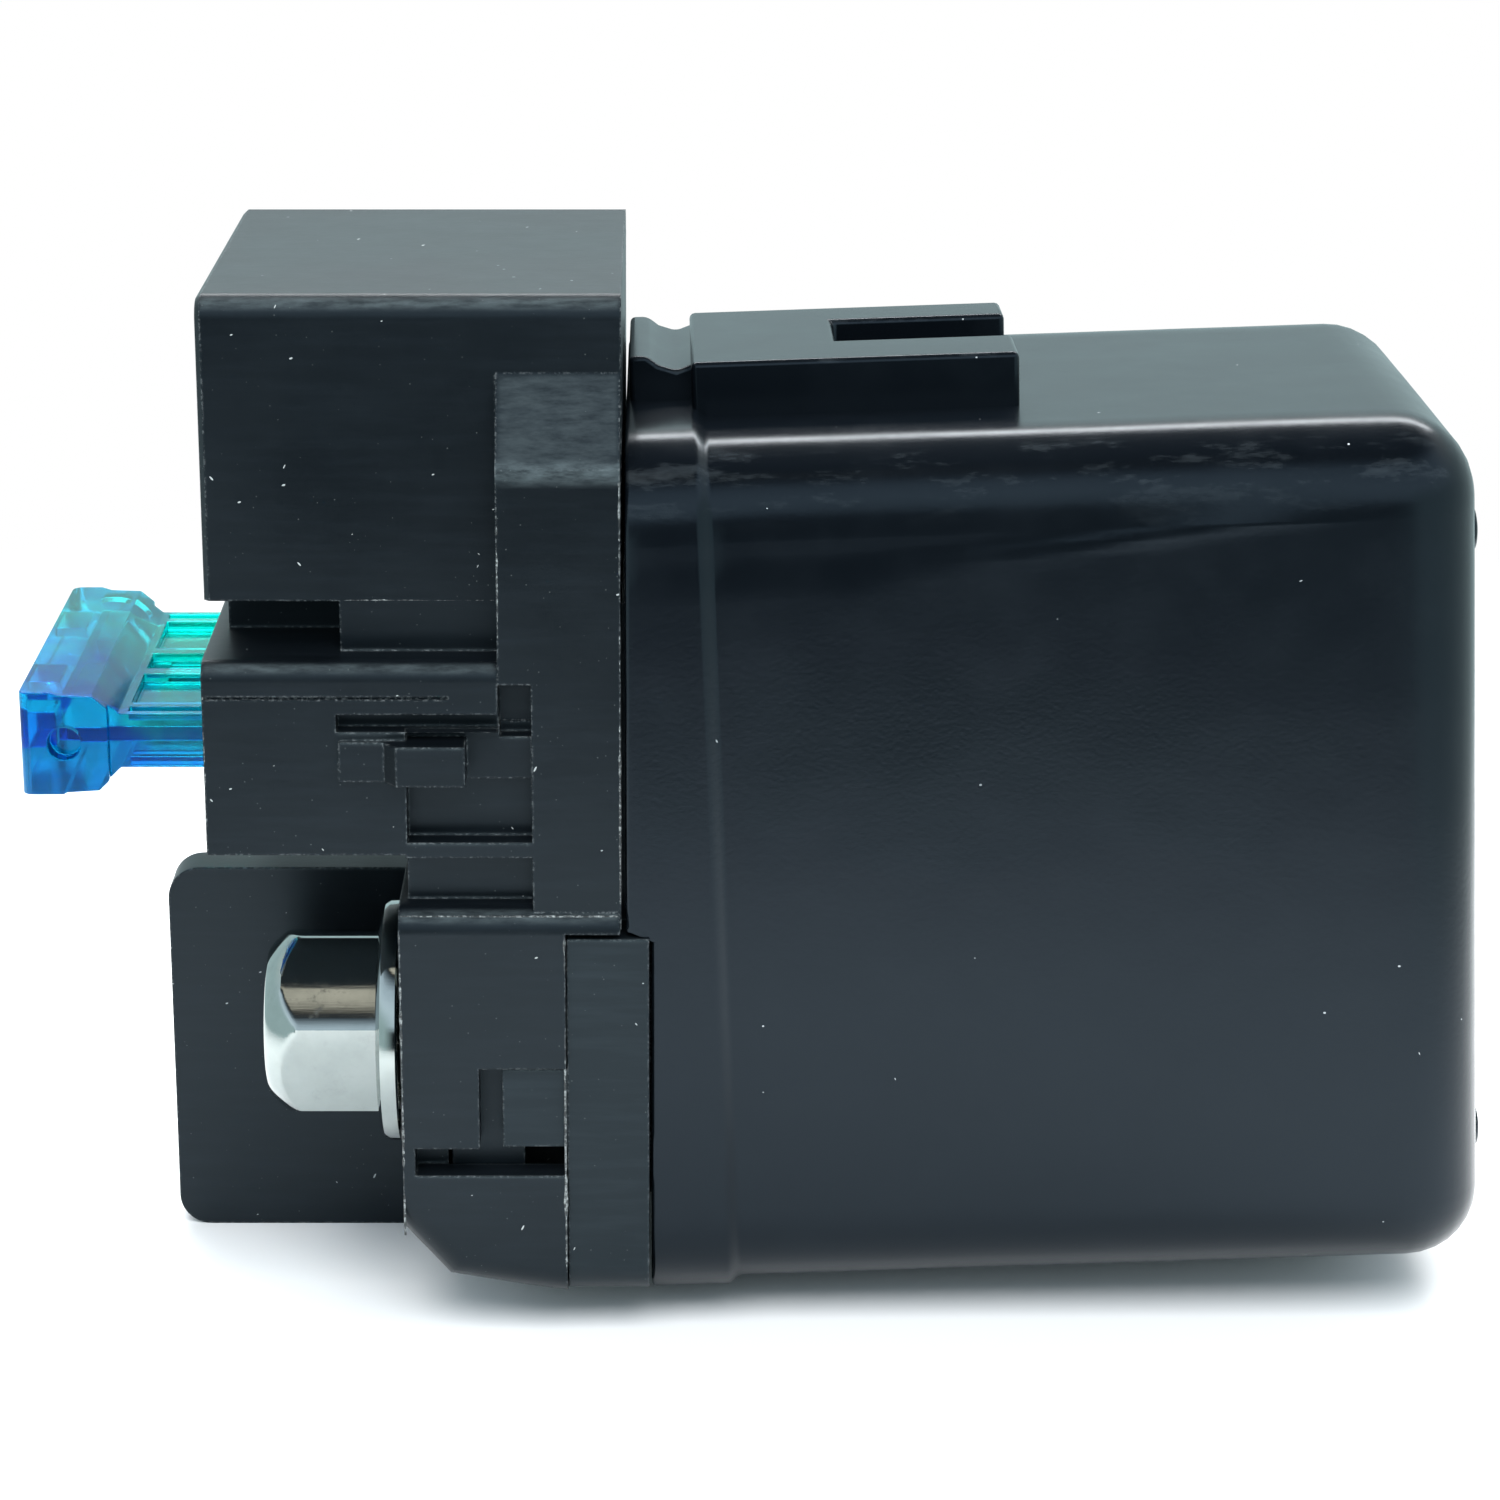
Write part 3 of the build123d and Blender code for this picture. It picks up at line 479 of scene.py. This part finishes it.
def coords(tree, scale=(1, 1, 1), turn=(0, 0, 0)):
    """Object coordinates, scaled and turned."""
    where = node(tree, "TexCoord").outputs["Object"]
    return node(tree, "Mapping", {"Vector": where, "Scale": scale, "Rotation": turn}).outputs[0]


def noise(tree, vector, scale, detail=3.0, rough=0.5, warp=0.0):
    n = node(tree, "TexNoise", {"Vector": vector, "Scale": scale, "Detail": detail,
                                "Roughness": rough, "Distortion": warp})
    return n.outputs["Fac"]


def ramp(tree, fac, *stops):
    """Colour ramp. Each stop is (place, grey or colour)."""
    n = node(tree, "ValToRGB", {"Fac": fac})
    points = n.color_ramp.elements
    while len(points) < len(stops):
        points.new(0.5)
    for point, (place, value) in zip(points, stops):
        point.position = place
        grey = isinstance(value, (int, float))
        point.color = (value, value, value, 1) if grey else (*value, 1)
    return n.outputs["Color"]


def math_node(tree, how, a, b=0.0, c=None, clamped=False):
    n = node(tree, "Math", {0: a, 1: b}, operation=how)
    if c is not None:
        put(tree, n.inputs[2], c)
    n.use_clamp = clamped
    return n.outputs[0]


def mix(tree, fac, a, b, how="MIX"):
    n = node(tree, "Mix", data_type="RGBA", blend_type=how)
    put(tree, n.inputs["Factor"], fac)
    put(tree, n.inputs[6], a if isinstance(a, bpy.types.NodeSocket) else (*a, 1))
    put(tree, n.inputs[7], b if isinstance(b, bpy.types.NodeSocket) else (*b, 1))
    return n.outputs[2]


def bump(tree, height, strength, distance, normal=None):
    n = node(tree, "Bump", {"Height": height, "Strength": strength, "Distance": distance})
    if normal is not None:
        tree.links.new(normal, n.inputs["Normal"])
    return n.outputs[0]


def face_plane(tree):
    """Two coordinates that run along whichever side of the part a point is on."""
    where = node(tree, "SeparateXYZ", {0: coords(tree)}).outputs
    normal = node(tree, "NewGeometry").outputs["Normal"]
    facing = node(tree, "VectorMath", {0: normal}, operation="ABSOLUTE").outputs[0]
    facing = node(tree, "VectorMath", {0: facing, 1: (0.3, 0.3, 0.3)}, operation="ADD").outputs[0]
    facing = node(tree, "VectorMath", {0: facing}, operation="FLOOR").outputs[0]
    facing = node(tree, "SeparateXYZ", {0: facing}).outputs
    pair = []
    for axis in (0, 2):
        shift = math_node(tree, "SUBTRACT", where[1], where[axis])
        pair.append(math_node(tree, "MULTIPLY_ADD", shift, facing[axis], where[axis]))
    return node(tree, "CombineXYZ", {0: pair[0], 1: pair[1]}).outputs[0]


def flecks(tree, plane, scale, share, size, stretch=1.0, turn=0.0):
    """Mask of small scattered flecks: share of the cells hold one, of that size in cells."""
    placed = node(tree, "Mapping", {"Vector": plane, "Scale": (stretch, 1, 1),
                                    "Rotation": (0, 0, turn)}, vector_type="TEXTURE")
    cells = node(tree, "TexVoronoi", {"Vector": placed.outputs[0], "Scale": scale},
                 voronoi_dimensions="2D")
    tint = node(tree, "SeparateColor", {"Color": cells.outputs["Color"]}).outputs
    reach = math_node(tree, "MULTIPLY_ADD", tint[1], size, size * 0.5)
    near = math_node(tree, "LESS_THAN", cells.outputs["Distance"], reach)
    chosen = math_node(tree, "LESS_THAN", tint[0], share)
    return math_node(tree, "MULTIPLY", near, chosen)


def edge_mask(tree, radius):
    """Mask that rises on sharp outer and inner edges, with the rounded normal that finds them."""
    soft = node(tree, "Bevel", {"Radius": radius}, samples=4).outputs[0]
    plain = node(tree, "NewGeometry").outputs["Normal"]
    dot = node(tree, "VectorMath", {0: soft, 1: plain}, operation="DOT_PRODUCT").outputs["Value"]
    off = math_node(tree, "SUBTRACT", 1.0, dot)
    return math_node(tree, "MULTIPLY", off, 9.0, clamped=True), soft


def painted_edge_highlight_mask(tree):
    """Painted highlight mask on rounded edges, where they look both up and to the front or back."""
    # painted highlight: chosen by which way the rounded edge faces, not by wear
    soft = node(tree, "Bevel", {"Radius": 0.00045}, samples=6).outputs[0]
    facing = node(tree, "VectorMath", {0: soft}, operation="ABSOLUTE").outputs[0]
    across = node(tree, "SeparateXYZ", {0: facing}).outputs[1]
    up = node(tree, "SeparateXYZ", {0: soft}).outputs[2]
    both = math_node(tree, "MULTIPLY", across, up)
    return math_node(tree, "MULTIPLY_ADD", both, 5.2, -1.9, clamped=True)


def painted_strap_bend_highlight(tree):
    """Mask on the bend of the two side straps: a painted highlight where the bend catches the
    light.
    """
    fall, reach = -1600.0, 1.25      # per metre away from the bend, and the value on it
    split = node(tree, "SeparateXYZ", {0: coords(tree)}).outputs
    side = math_node(tree, "GREATER_THAN", math_node(tree, "ABSOLUTE", split[1]), STRAP_OUT * MM)
    rise = math_node(tree, "ABSOLUTE", math_node(tree, "SUBTRACT", split[2], STRAP_BEND * MM))
    near = math_node(tree, "MULTIPLY_ADD", rise, fall, reach, clamped=True)
    return math_node(tree, "MULTIPLY", side, near)


# ---------------------------------------------------------------- materials
def black_plastic(name, base, lighter, rough, streak=0.25, edge_light=0.5, dust=0.07, highlight_strength=0.55):
    """Moulded black plastic: flow streaks, fine grain, dust and whitened, broken edges, with a
    painted highlight on up-facing rounded edges and the strap bend, broken by scuffs.
    """
    m, t, s = material(name)
    where = coords(t)
    cloud = noise(t, where, 110, 4, 0.6)
    grain = noise(t, where, 2400, 3, 0.6)
    flow = noise(t, coords(t, (180, 1500, 1900)), 1.0, 4, 0.6)
    tone = ramp(t, cloud, (0.3, 0.0), (0.75, 1.0))
    colour = mix(t, tone, base, lighter)
    colour = mix(t, math_node(t, "MULTIPLY", ramp(t, flow, (0.45, 0.0), (0.8, 1.0)), streak),
                 colour, tuple(3.0 * c for c in lighter))
    mask, soft = edge_mask(t, 0.00016)
    broken = ramp(t, noise(t, where, 5200, 2, 0.7), (0.5, 0.0), (0.62, 1.0))
    worn = math_node(t, "MULTIPLY", math_node(t, "MULTIPLY", mask, broken), edge_light)
    colour = mix(t, worn, colour, (0.34, 0.37, 0.38))
    plane = face_plane(t)
    # painted highlight: rounded edges that face up and to the front or back, and the strap bend,
    # get a paler colour, broken up by scuff noise
    highlight_and_scuffs = math_node(t, "MAXIMUM", painted_edge_highlight_mask(t), painted_strap_bend_highlight(t))
    scuffs = ramp(t, noise(t, coords(t, (700, 2600, 2600), (0, 0.5, 0)), 1.0, 4, 0.7),
                  (0.34, 0.25), (0.66, 1.0))
    highlight_and_scuffs = math_node(t, "MULTIPLY", highlight_and_scuffs, scuffs)
    colour = mix(t, math_node(t, "MULTIPLY", highlight_and_scuffs, highlight_strength), colour, (0.14, 0.175, 0.185))
    for scale, share, size, stretch, turn in (
            (900, dust * 0.9, 0.026, 2.0, 0.3), (520, dust * 0.9, 0.016, 3.6, 1.1),
            (560, dust * 0.9, 0.016, 3.0, 2.3), (2600, dust * 0.9, 0.055, 1.0, 0.5)):
        colour = mix(t, flecks(t, plane, scale, share, size, stretch, turn), colour,
                     (0.40, 0.43, 0.43) if scale < 1000 else (0.07, 0.08, 0.08))
    t.links.new(colour, s.inputs["Base Color"])
    dull = math_node(t, "MULTIPLY_ADD", cloud, 0.22, rough - 0.11)
    t.links.new(math_node(t, "MULTIPLY_ADD", highlight_and_scuffs, 0.25, dull), s.inputs["Roughness"])
    s.inputs["Specular Tint"].default_value = (0.70, 0.88, 1.0, 1)
    s.inputs["Specular IOR Level"].default_value = 0.34
    first = bump(t, grain, 0.16, 0.00003, soft)
    second = bump(t, flow, 0.10, 0.00005, first)
    t.links.new(bump(t, worn, 0.5, 0.00006, second), s.inputs["Normal"])
    return m


def rubber(name):
    """Soft black rubber: cloudy bloom, fine tooth, a painted highlight on the up-facing long edges
    broken by scuff marks, a few pale fibres.
    """
    m, t, s = material(name)
    where = coords(t)
    cloud = noise(t, where, 60, 5, 0.62)
    patch = noise(t, where, 260, 4, 0.6)
    grain = noise(t, where, 3600, 2, 0.6)
    tone = ramp(t, cloud, (0.3, 0.0), (0.75, 1.0))
    colour = mix(t, tone, (0.0018, 0.0028, 0.0042), (0.0030, 0.0043, 0.0060))
    colour = mix(t, ramp(t, patch, (0.52, 0.0), (0.78, 0.5)), colour, (0.0050, 0.0068, 0.0090))
    # painted highlight: long edges that face up and to the front or back get a paler colour, broken
    # by scuff marks
    facing = node(t, "SeparateXYZ", {0: node(t, "NewGeometry").outputs["Normal"]}).outputs
    lit_shoulder = math_node(t, "MULTIPLY", math_node(t, "ABSOLUTE", facing[1]), facing[2])
    lit_shoulder = math_node(t, "MULTIPLY_ADD", lit_shoulder, 3.0, -0.3, clamped=True)
    marks = ramp(t, noise(t, coords(t, (260, 900, 900)), 1.0, 4, 0.7), (0.54, 0.0), (0.70, 0.7))
    colour = mix(t, math_node(t, "MULTIPLY", lit_shoulder, marks), colour, (0.022, 0.027, 0.031))
    plane = face_plane(t)
    for scale, share, size, stretch, turn in (
            (420, 0.035, 0.013, 1.4, 0.0), (300, 0.050, 0.010, 3.6, 0.35),
            (340, 0.040, 0.010, 3.2, 2.0)):
        colour = mix(t, flecks(t, plane, scale, share, size, stretch, turn), colour,
                     (0.42, 0.45, 0.46))
    t.links.new(colour, s.inputs["Base Color"])
    t.links.new(math_node(t, "MULTIPLY_ADD", patch, 0.12, 0.17), s.inputs["Roughness"])
    s.inputs["Specular Tint"].default_value = (0.66, 0.84, 1.0, 1)
    s.inputs["Specular IOR Level"].default_value = 0.33
    first = bump(t, grain, 0.14, 0.00003)
    t.links.new(bump(t, patch, 0.08, 0.0001, first), s.inputs["Normal"])
    return m


def metal(name, colour, rough, dull, scratch=0.12, along=(300, 5200, 5200), spot=0.3):
    """Plated or bare metal: drawn marks, dull clouds and a few stains."""
    m, t, s = material(name)
    where = coords(t)
    cloud = noise(t, where, 420, 4, 0.65)
    marks = noise(t, coords(t, along), 1.0, 3, 0.6)
    stain = ramp(t, noise(t, where, 900, 3, 0.7), (0.58, 0.0), (0.72, 1.0))
    base = mix(t, ramp(t, cloud, (0.35, 0.0), (0.75, 1.0)), colour, dull)
    base = mix(t, math_node(t, "MULTIPLY", stain, spot), base, tuple(0.5 * c for c in dull))
    t.links.new(base, s.inputs["Base Color"])
    s.inputs["Metallic"].default_value = 1.0
    uneven = math_node(t, "MULTIPLY_ADD", cloud, 0.14, rough - 0.05)
    t.links.new(math_node(t, "MULTIPLY_ADD", stain, 0.12, uneven), s.inputs["Roughness"])
    t.links.new(bump(t, marks, scratch, 0.00002), s.inputs["Normal"])
    return m


def clear_plastic(name):
    """Tinted clear plastic: blue, painted green toward the top, +Y and +X as light coming through.
    """
    m, t, s = material(name)
    where = coords(t)
    cloud = noise(t, where, 420, 4, 0.65)
    scuff = noise(t, coords(t, (900, 900, 2600)), 1.0, 3, 0.6)
    split = node(t, "SeparateXYZ", {0: where}).outputs
    along = node(t, "MapRange", {"Value": split[0], "From Min": FUSE_BLUE_X,
                                 "From Max": FUSE_GREEN_X})
    # painted light: the colour turns green by place, toward the top, +Y and +X, standing in for
    # light coming through
    green = math_node(t, "MULTIPLY_ADD", split[1], 38.0, -0.12)
    height = math_node(t, "SUBTRACT", split[2], FUSE_LOW_Z)
    green = math_node(t, "MULTIPLY_ADD", height, 150.0, green)
    green = math_node(t, "ADD", green, math_node(t, "MULTIPLY", along.outputs[0], 0.55))
    green = math_node(t, "MULTIPLY_ADD", cloud, 1.1, math_node(t, "SUBTRACT", green, 0.3))
    green = ramp(t, green, (0.1, 0.0), (0.8, 1.0))
    t.links.new(mix(t, green, (0.0, 0.15, 0.56), (0.0, 0.68, 0.58)), s.inputs["Base Color"])
    s.inputs["Transmission Weight"].default_value = 0.93
    s.inputs["IOR"].default_value = 1.44
    s.inputs["Specular IOR Level"].default_value = 0.2
    s.inputs["Specular Tint"].default_value = (0.5, 0.9, 1.0, 1)
    t.links.new(math_node(t, "MULTIPLY_ADD", scuff, 0.16, 0.04), s.inputs["Roughness"])
    t.links.new(bump(t, scuff, 0.12, 0.00003), s.inputs["Normal"])
    return m


def pale_plastic(name, base, darker, rough, broken=False):
    """Plain moulded nylon, tape or enamel: soft clouds and fine grain, or broken specks."""
    m, t, s = material(name)
    where = coords(t)
    cloud = noise(t, where, 160, 4, 0.6)
    if broken:
        cloud = ramp(t, noise(t, where, 4200, 3, 0.75), (0.46, 0.0), (0.66, 1.0))
    grain = noise(t, where, 2600, 2, 0.6)
    t.links.new(mix(t, cloud, base, darker), s.inputs["Base Color"])
    t.links.new(math_node(t, "MULTIPLY_ADD", grain, 0.15, rough - 0.07), s.inputs["Roughness"])
    t.links.new(bump(t, grain, 0.1, 0.00003), s.inputs["Normal"])
    return m


def wound_wire(name):
    """Close turns of enamelled wire about the X axis."""
    m, t, s = material(name)
    turns = node(t, "TexWave", {"Vector": coords(t), "Scale": 700.0, "Distortion": 0.4,
                                "Detail": 1.0}, bands_direction="X")
    cloud = noise(t, coords(t), 300, 3, 0.6)
    base = mix(t, turns.outputs["Fac"], (0.16, 0.045, 0.015), (0.62, 0.25, 0.09))
    t.links.new(mix(t, math_node(t, "MULTIPLY", cloud, 0.5), base, (0.4, 0.14, 0.05)),
                s.inputs["Base Color"])
    s.inputs["Metallic"].default_value = 0.7
    t.links.new(math_node(t, "MULTIPLY_ADD", cloud, 0.2, 0.22), s.inputs["Roughness"])
    t.links.new(bump(t, turns.outputs["Fac"], 0.6, 0.0001), s.inputs["Normal"])
    return m


HEAD = black_plastic("moulded_black", (0.0020, 0.0031, 0.0044), (0.0042, 0.0058, 0.0076), 0.36)
FLASH = pale_plastic("moulding_flash", (0.020, 0.024, 0.026), (0.33, 0.36, 0.36), 0.42, True)
BOOT = rubber("boot_rubber")
NICKEL = metal("bright_nickel", (0.39, 0.43, 0.42), 0.07, (0.33, 0.37, 0.36), 0.08, spot=0.15)
LOOKS = {
    "head_plastic": HEAD,
    "cap_plastic": black_plastic("moulded_grey_black", (0.0056, 0.0082, 0.0102),
                                 (0.0090, 0.0124, 0.0148), 0.46, 0.3, 0.45),
    "boot_rubber": BOOT,
    "fuse_plastic": clear_plastic("fuse_blue"),
    "fuse_zinc": metal("fuse_zinc", (0.62, 0.65, 0.66), 0.3, (0.5, 0.53, 0.55)),
    "bolt_plate": NICKEL,
    "washer_plate": metal("zinc_plate", (0.66, 0.66, 0.63), 0.26, (0.5, 0.5, 0.47)),
    "terminal_tin": metal("tinned_brass", (0.70, 0.66, 0.55), 0.32, (0.55, 0.5, 0.4)),
    "contact_silver": metal("contact_silver", (0.84, 0.84, 0.82), 0.25, (0.6, 0.6, 0.58)),
    "pin_tin": metal("pin_tin", (0.76, 0.74, 0.68), 0.24, (0.6, 0.57, 0.5)),
    "lead_enamel": pale_plastic("lead_enamel", (0.42, 0.12, 0.04), (0.3, 0.08, 0.03), 0.3),
    "diode_body": pale_plastic("diode_body", (0.02, 0.02, 0.021), (0.03, 0.03, 0.031), 0.35),
    "gasket_rubber": pale_plastic("gasket_rubber", (0.02, 0.02, 0.022), (0.035, 0.035, 0.037), 0.7),
    "can_steel": metal("drawn_steel", (0.56, 0.56, 0.55), 0.34, (0.42, 0.42, 0.41)),
    "yoke_steel": metal("yoke_steel", (0.46, 0.46, 0.45), 0.4, (0.33, 0.33, 0.32)),
    "iron": metal("turned_iron", (0.40, 0.39, 0.38), 0.36, (0.28, 0.27, 0.26)),
    "bobbin_nylon": pale_plastic("bobbin_nylon", (0.72, 0.69, 0.58), (0.62, 0.58, 0.47), 0.45),
    "winding_copper": wound_wire("winding_copper"),
    "wrap_tape": pale_plastic("wrap_tape", (0.70, 0.50, 0.12), (0.58, 0.40, 0.09), 0.3),
    "spring_steel": metal("spring_steel", (0.60, 0.60, 0.62), 0.22, (0.45, 0.45, 0.47)),
    "bridge_copper": metal("bridge_copper", (0.78, 0.42, 0.27), 0.3, (0.55, 0.27, 0.16)),
}
SLOTS = {part["node"]: part["material_slot"] for part in frame["record"]["subparts"]}
for name, slot in SLOTS.items():
    data = NODES[name].data
    if not data.materials:
        data.materials.append(LOOKS[slot])
    for k in range(len(data.materials)):
        data.materials[k] = LOOKS[slot]


# ---------------------------------------------------------------- carried-over nodes
def soften(name, width, segments=2, angle=26):
    """Rounds a CAD node's sharp edges with modifiers, which leave its mesh as it is."""
    obj = NODES[name]
    weld = obj.modifiers.new("weld", "WELD")
    weld.merge_threshold = 0.000002
    flat = obj.modifiers.new("flat", "DECIMATE")
    flat.decimate_type = "DISSOLVE"
    flat.angle_limit = math.radians(1.0)
    round_off = obj.modifiers.new("edges", "BEVEL")
    round_off.width = width * MM
    round_off.segments = segments
    round_off.limit_method = "ANGLE"
    round_off.angle_limit = math.radians(angle)
    round_off.use_clamp_overlap = True
    round_off.harden_normals = True
    even_shading(obj)
    obj.data.shade_smooth()
    obj.data.set_sharp_from_angle(angle=math.radians(30))


build_boot(BOOT)
build_flash(FLASH)
build_inner_walls(HEAD)
for side, y in (("front", -BOLT_Y), ("rear", BOLT_Y)):
    build_bolt(side, y, NICKEL)
for name, width in (("head_cover", 0.13), ("relay_cap", 0.15), ("fuse_body", 0.12),
                    ("fuse_blades", 0.05), ("front_washer", 0.06), ("rear_washer", 0.06),
                    ("front_terminal", 0.08), ("rear_terminal", 0.08), ("power_pins", 0.06),
                    ("coil_pins", 0.06), ("front_fuse_clip", 0.05), ("rear_fuse_clip", 0.05),
                    ("yoke_frame", 0.1), ("yoke_plate", 0.1), ("bus_strip", 0.05)):
    soften(name, width)


# ---------------------------------------------------------------- floor, light, camera
def floor():
    """Pale paper round floor whose rim fades into the pale surroundings."""
    mesh = bpy.data.meshes.new("floor")
    sides, reach = 96, 0.34
    turns = [2 * math.pi * k / sides for k in range(sides)]
    mesh.from_pydata([(reach * math.cos(a), reach * math.sin(a), 0) for a in turns],
                     [], [tuple(range(sides))])
    obj = bpy.data.objects.new("floor", mesh)
    bpy.context.scene.collection.objects.link(obj)
    m, t, s = material("floor_paper")
    cloud = noise(t, coords(t), 30, 2, 0.5)
    t.links.new(mix(t, cloud, (0.93, 0.93, 0.93), (0.95, 0.95, 0.95)), s.inputs["Base Color"])
    s.inputs["Roughness"].default_value = 0.95
    s.inputs["Specular IOR Level"].default_value = 0.1
    far = node(t, "VectorMath", {0: coords(t)}, operation="LENGTH").outputs["Value"]
    seen = node(t, "MapRange", {"Value": far, "From Min": 0.045, "From Max": 0.15,
                                "To Min": 1.0, "To Max": 0.0}, interpolation_type="SMOOTHSTEP")
    t.links.new(seen.outputs[0], s.inputs["Alpha"])
    mesh.materials.append(m)


def area_light(name, place, aim, size, power, mirrored=True):
    """Soft rectangular light; it may be left out of the reflections."""
    data = bpy.data.lights.new(name, "AREA")
    data.shape = "RECTANGLE"
    data.size, data.size_y = size
    data.energy = power
    obj = bpy.data.objects.new(name, data)
    obj.location = place
    obj.rotation_euler = (Vector(aim) - Vector(place)).to_track_quat("-Z", "Y").to_euler()
    obj.visible_glossy = mirrored
    bpy.context.scene.collection.objects.link(obj)


def surroundings():
    """World light: white to the camera, and for everything else a studio with soft boxes.

    The front is a floor glow, a dark horizon, a soft box and a narrow warm strip on the left;
    the back and the two sides are bright.
    """
    world = bpy.data.worlds.new("studio")
    world.use_nodes = True
    bpy.context.scene.world = world
    t = world.node_tree
    t.nodes.clear()
    out = node(t, "OutputWorld")
    where = node(t, "TexCoord").outputs["Generated"]
    split = node(t, "SeparateXYZ", {0: where})
    height = math_node(t, "MULTIPLY_ADD", split.outputs[2], 0.5, 0.5)
    back = math_node(t, "MULTIPLY_ADD", split.outputs[1], 0.5, 0.5)
    front_glow = ramp(t, height, (0.0, (0.4, 0.5, 0.6)), (0.28, (0.20, 0.26, 0.33)),
                      (0.40, (0.04, 0.055, 0.07)), (0.5, (0.010, 0.013, 0.017)),
                      (0.565, (0.02, 0.026, 0.032)), (0.62, (0.90, 1.08, 1.22)),
                      (0.72, (1.10, 1.30, 1.45)), (0.86, (0.80, 0.96, 1.10)),
                      (0.93, (0.10, 0.13, 0.16)), (0.945, (0.02, 0.02, 0.02)),
                      (0.974, (0.03, 0.03, 0.03)), (1.0, (0.10, 0.12, 0.14)))
    across = math_node(t, "MULTIPLY_ADD", split.outputs[0], 0.5, 0.5)
    stripe = ramp(t, height, (0.945, 0.0), (0.955, 1.0), (0.968, 1.0), (0.974, 0.0))
    stripe = math_node(t, "MULTIPLY", stripe, ramp(t, across, (0.475, 1.0), (0.49, 0.0)))
    front_glow = mix(t, stripe, front_glow, (0.95, 0.86, 0.72))
    back_glow = ramp(t, height, (0.0, (0.36, 0.48, 0.50)), (0.5, (0.62, 0.83, 0.86)),
                     (0.66, (0.62, 0.82, 0.85)), (0.74, (0.88, 1.00, 1.00)),
                     (0.85, (0.95, 1.00, 1.00)), (0.89, (0.12, 0.15, 0.16)),
                     (1.0, (0.10, 0.12, 0.14)))
    glow = mix(t, ramp(t, back, (0.42, 0.0), (0.66, 1.0)), front_glow, back_glow)
    sideways = math_node(t, "ABSOLUTE", split.outputs[0])
    aside = ramp(t, sideways, (0.12, 0.0), (0.5, 1.0))
    level = ramp(t, height, (0.22, 0.0), (0.34, 1.0), (0.60, 1.0), (0.76, 0.0))
    glow = mix(t, math_node(t, "MULTIPLY", aside, level), glow, (0.66, 0.86, 0.88))
    dim = node(t, "Background", {"Color": glow, "Strength": 1.0})
    white = node(t, "Background", {"Color": (1, 1, 1, 1), "Strength": 1.0})
    camera_ray = node(t, "LightPath").outputs["Is Camera Ray"]
    both = node(t, "MixShader", {0: camera_ray, 1: dim.outputs[0], 2: white.outputs[0]})
    t.links.new(both.outputs[0], out.inputs[0])


floor()
surroundings()
area_light("top_box", (0.03, 0.16, 0.36), (0, 0.01, 0.01), (0.34, 0.26), 2.4, False)
area_light("edge_box", (0.0, 0.27, 0.28), (0, 0.0, 0.02), (0.50, 0.055), 0.9)
area_light("front_fill", (0.0, -0.24, 0.34), (0, -0.04, 0), (0.36, 0.26), 1.75, False)
bpy.context.scene.view_settings.view_transform = "Standard"

camera = bpy.data.cameras.new("camera")
camera.lens = 96.0
camera.sensor_width = 36.0
camera.shift_x = 85 / 1500    # the photograph's centre lies 85 points off the view's axis
camera.clip_start = 0.01
eye = bpy.data.objects.new("camera", camera)
LOOK_DOWN = 17.6146
eye.location = ((-3.65 + DATUM) * MM, -191.31 * MM, 86.07 * MM)
eye.rotation_euler = (math.radians(90 - LOOK_DOWN), 0, 0)
bpy.context.scene.collection.objects.link(eye)
bpy.context.scene.camera = eye
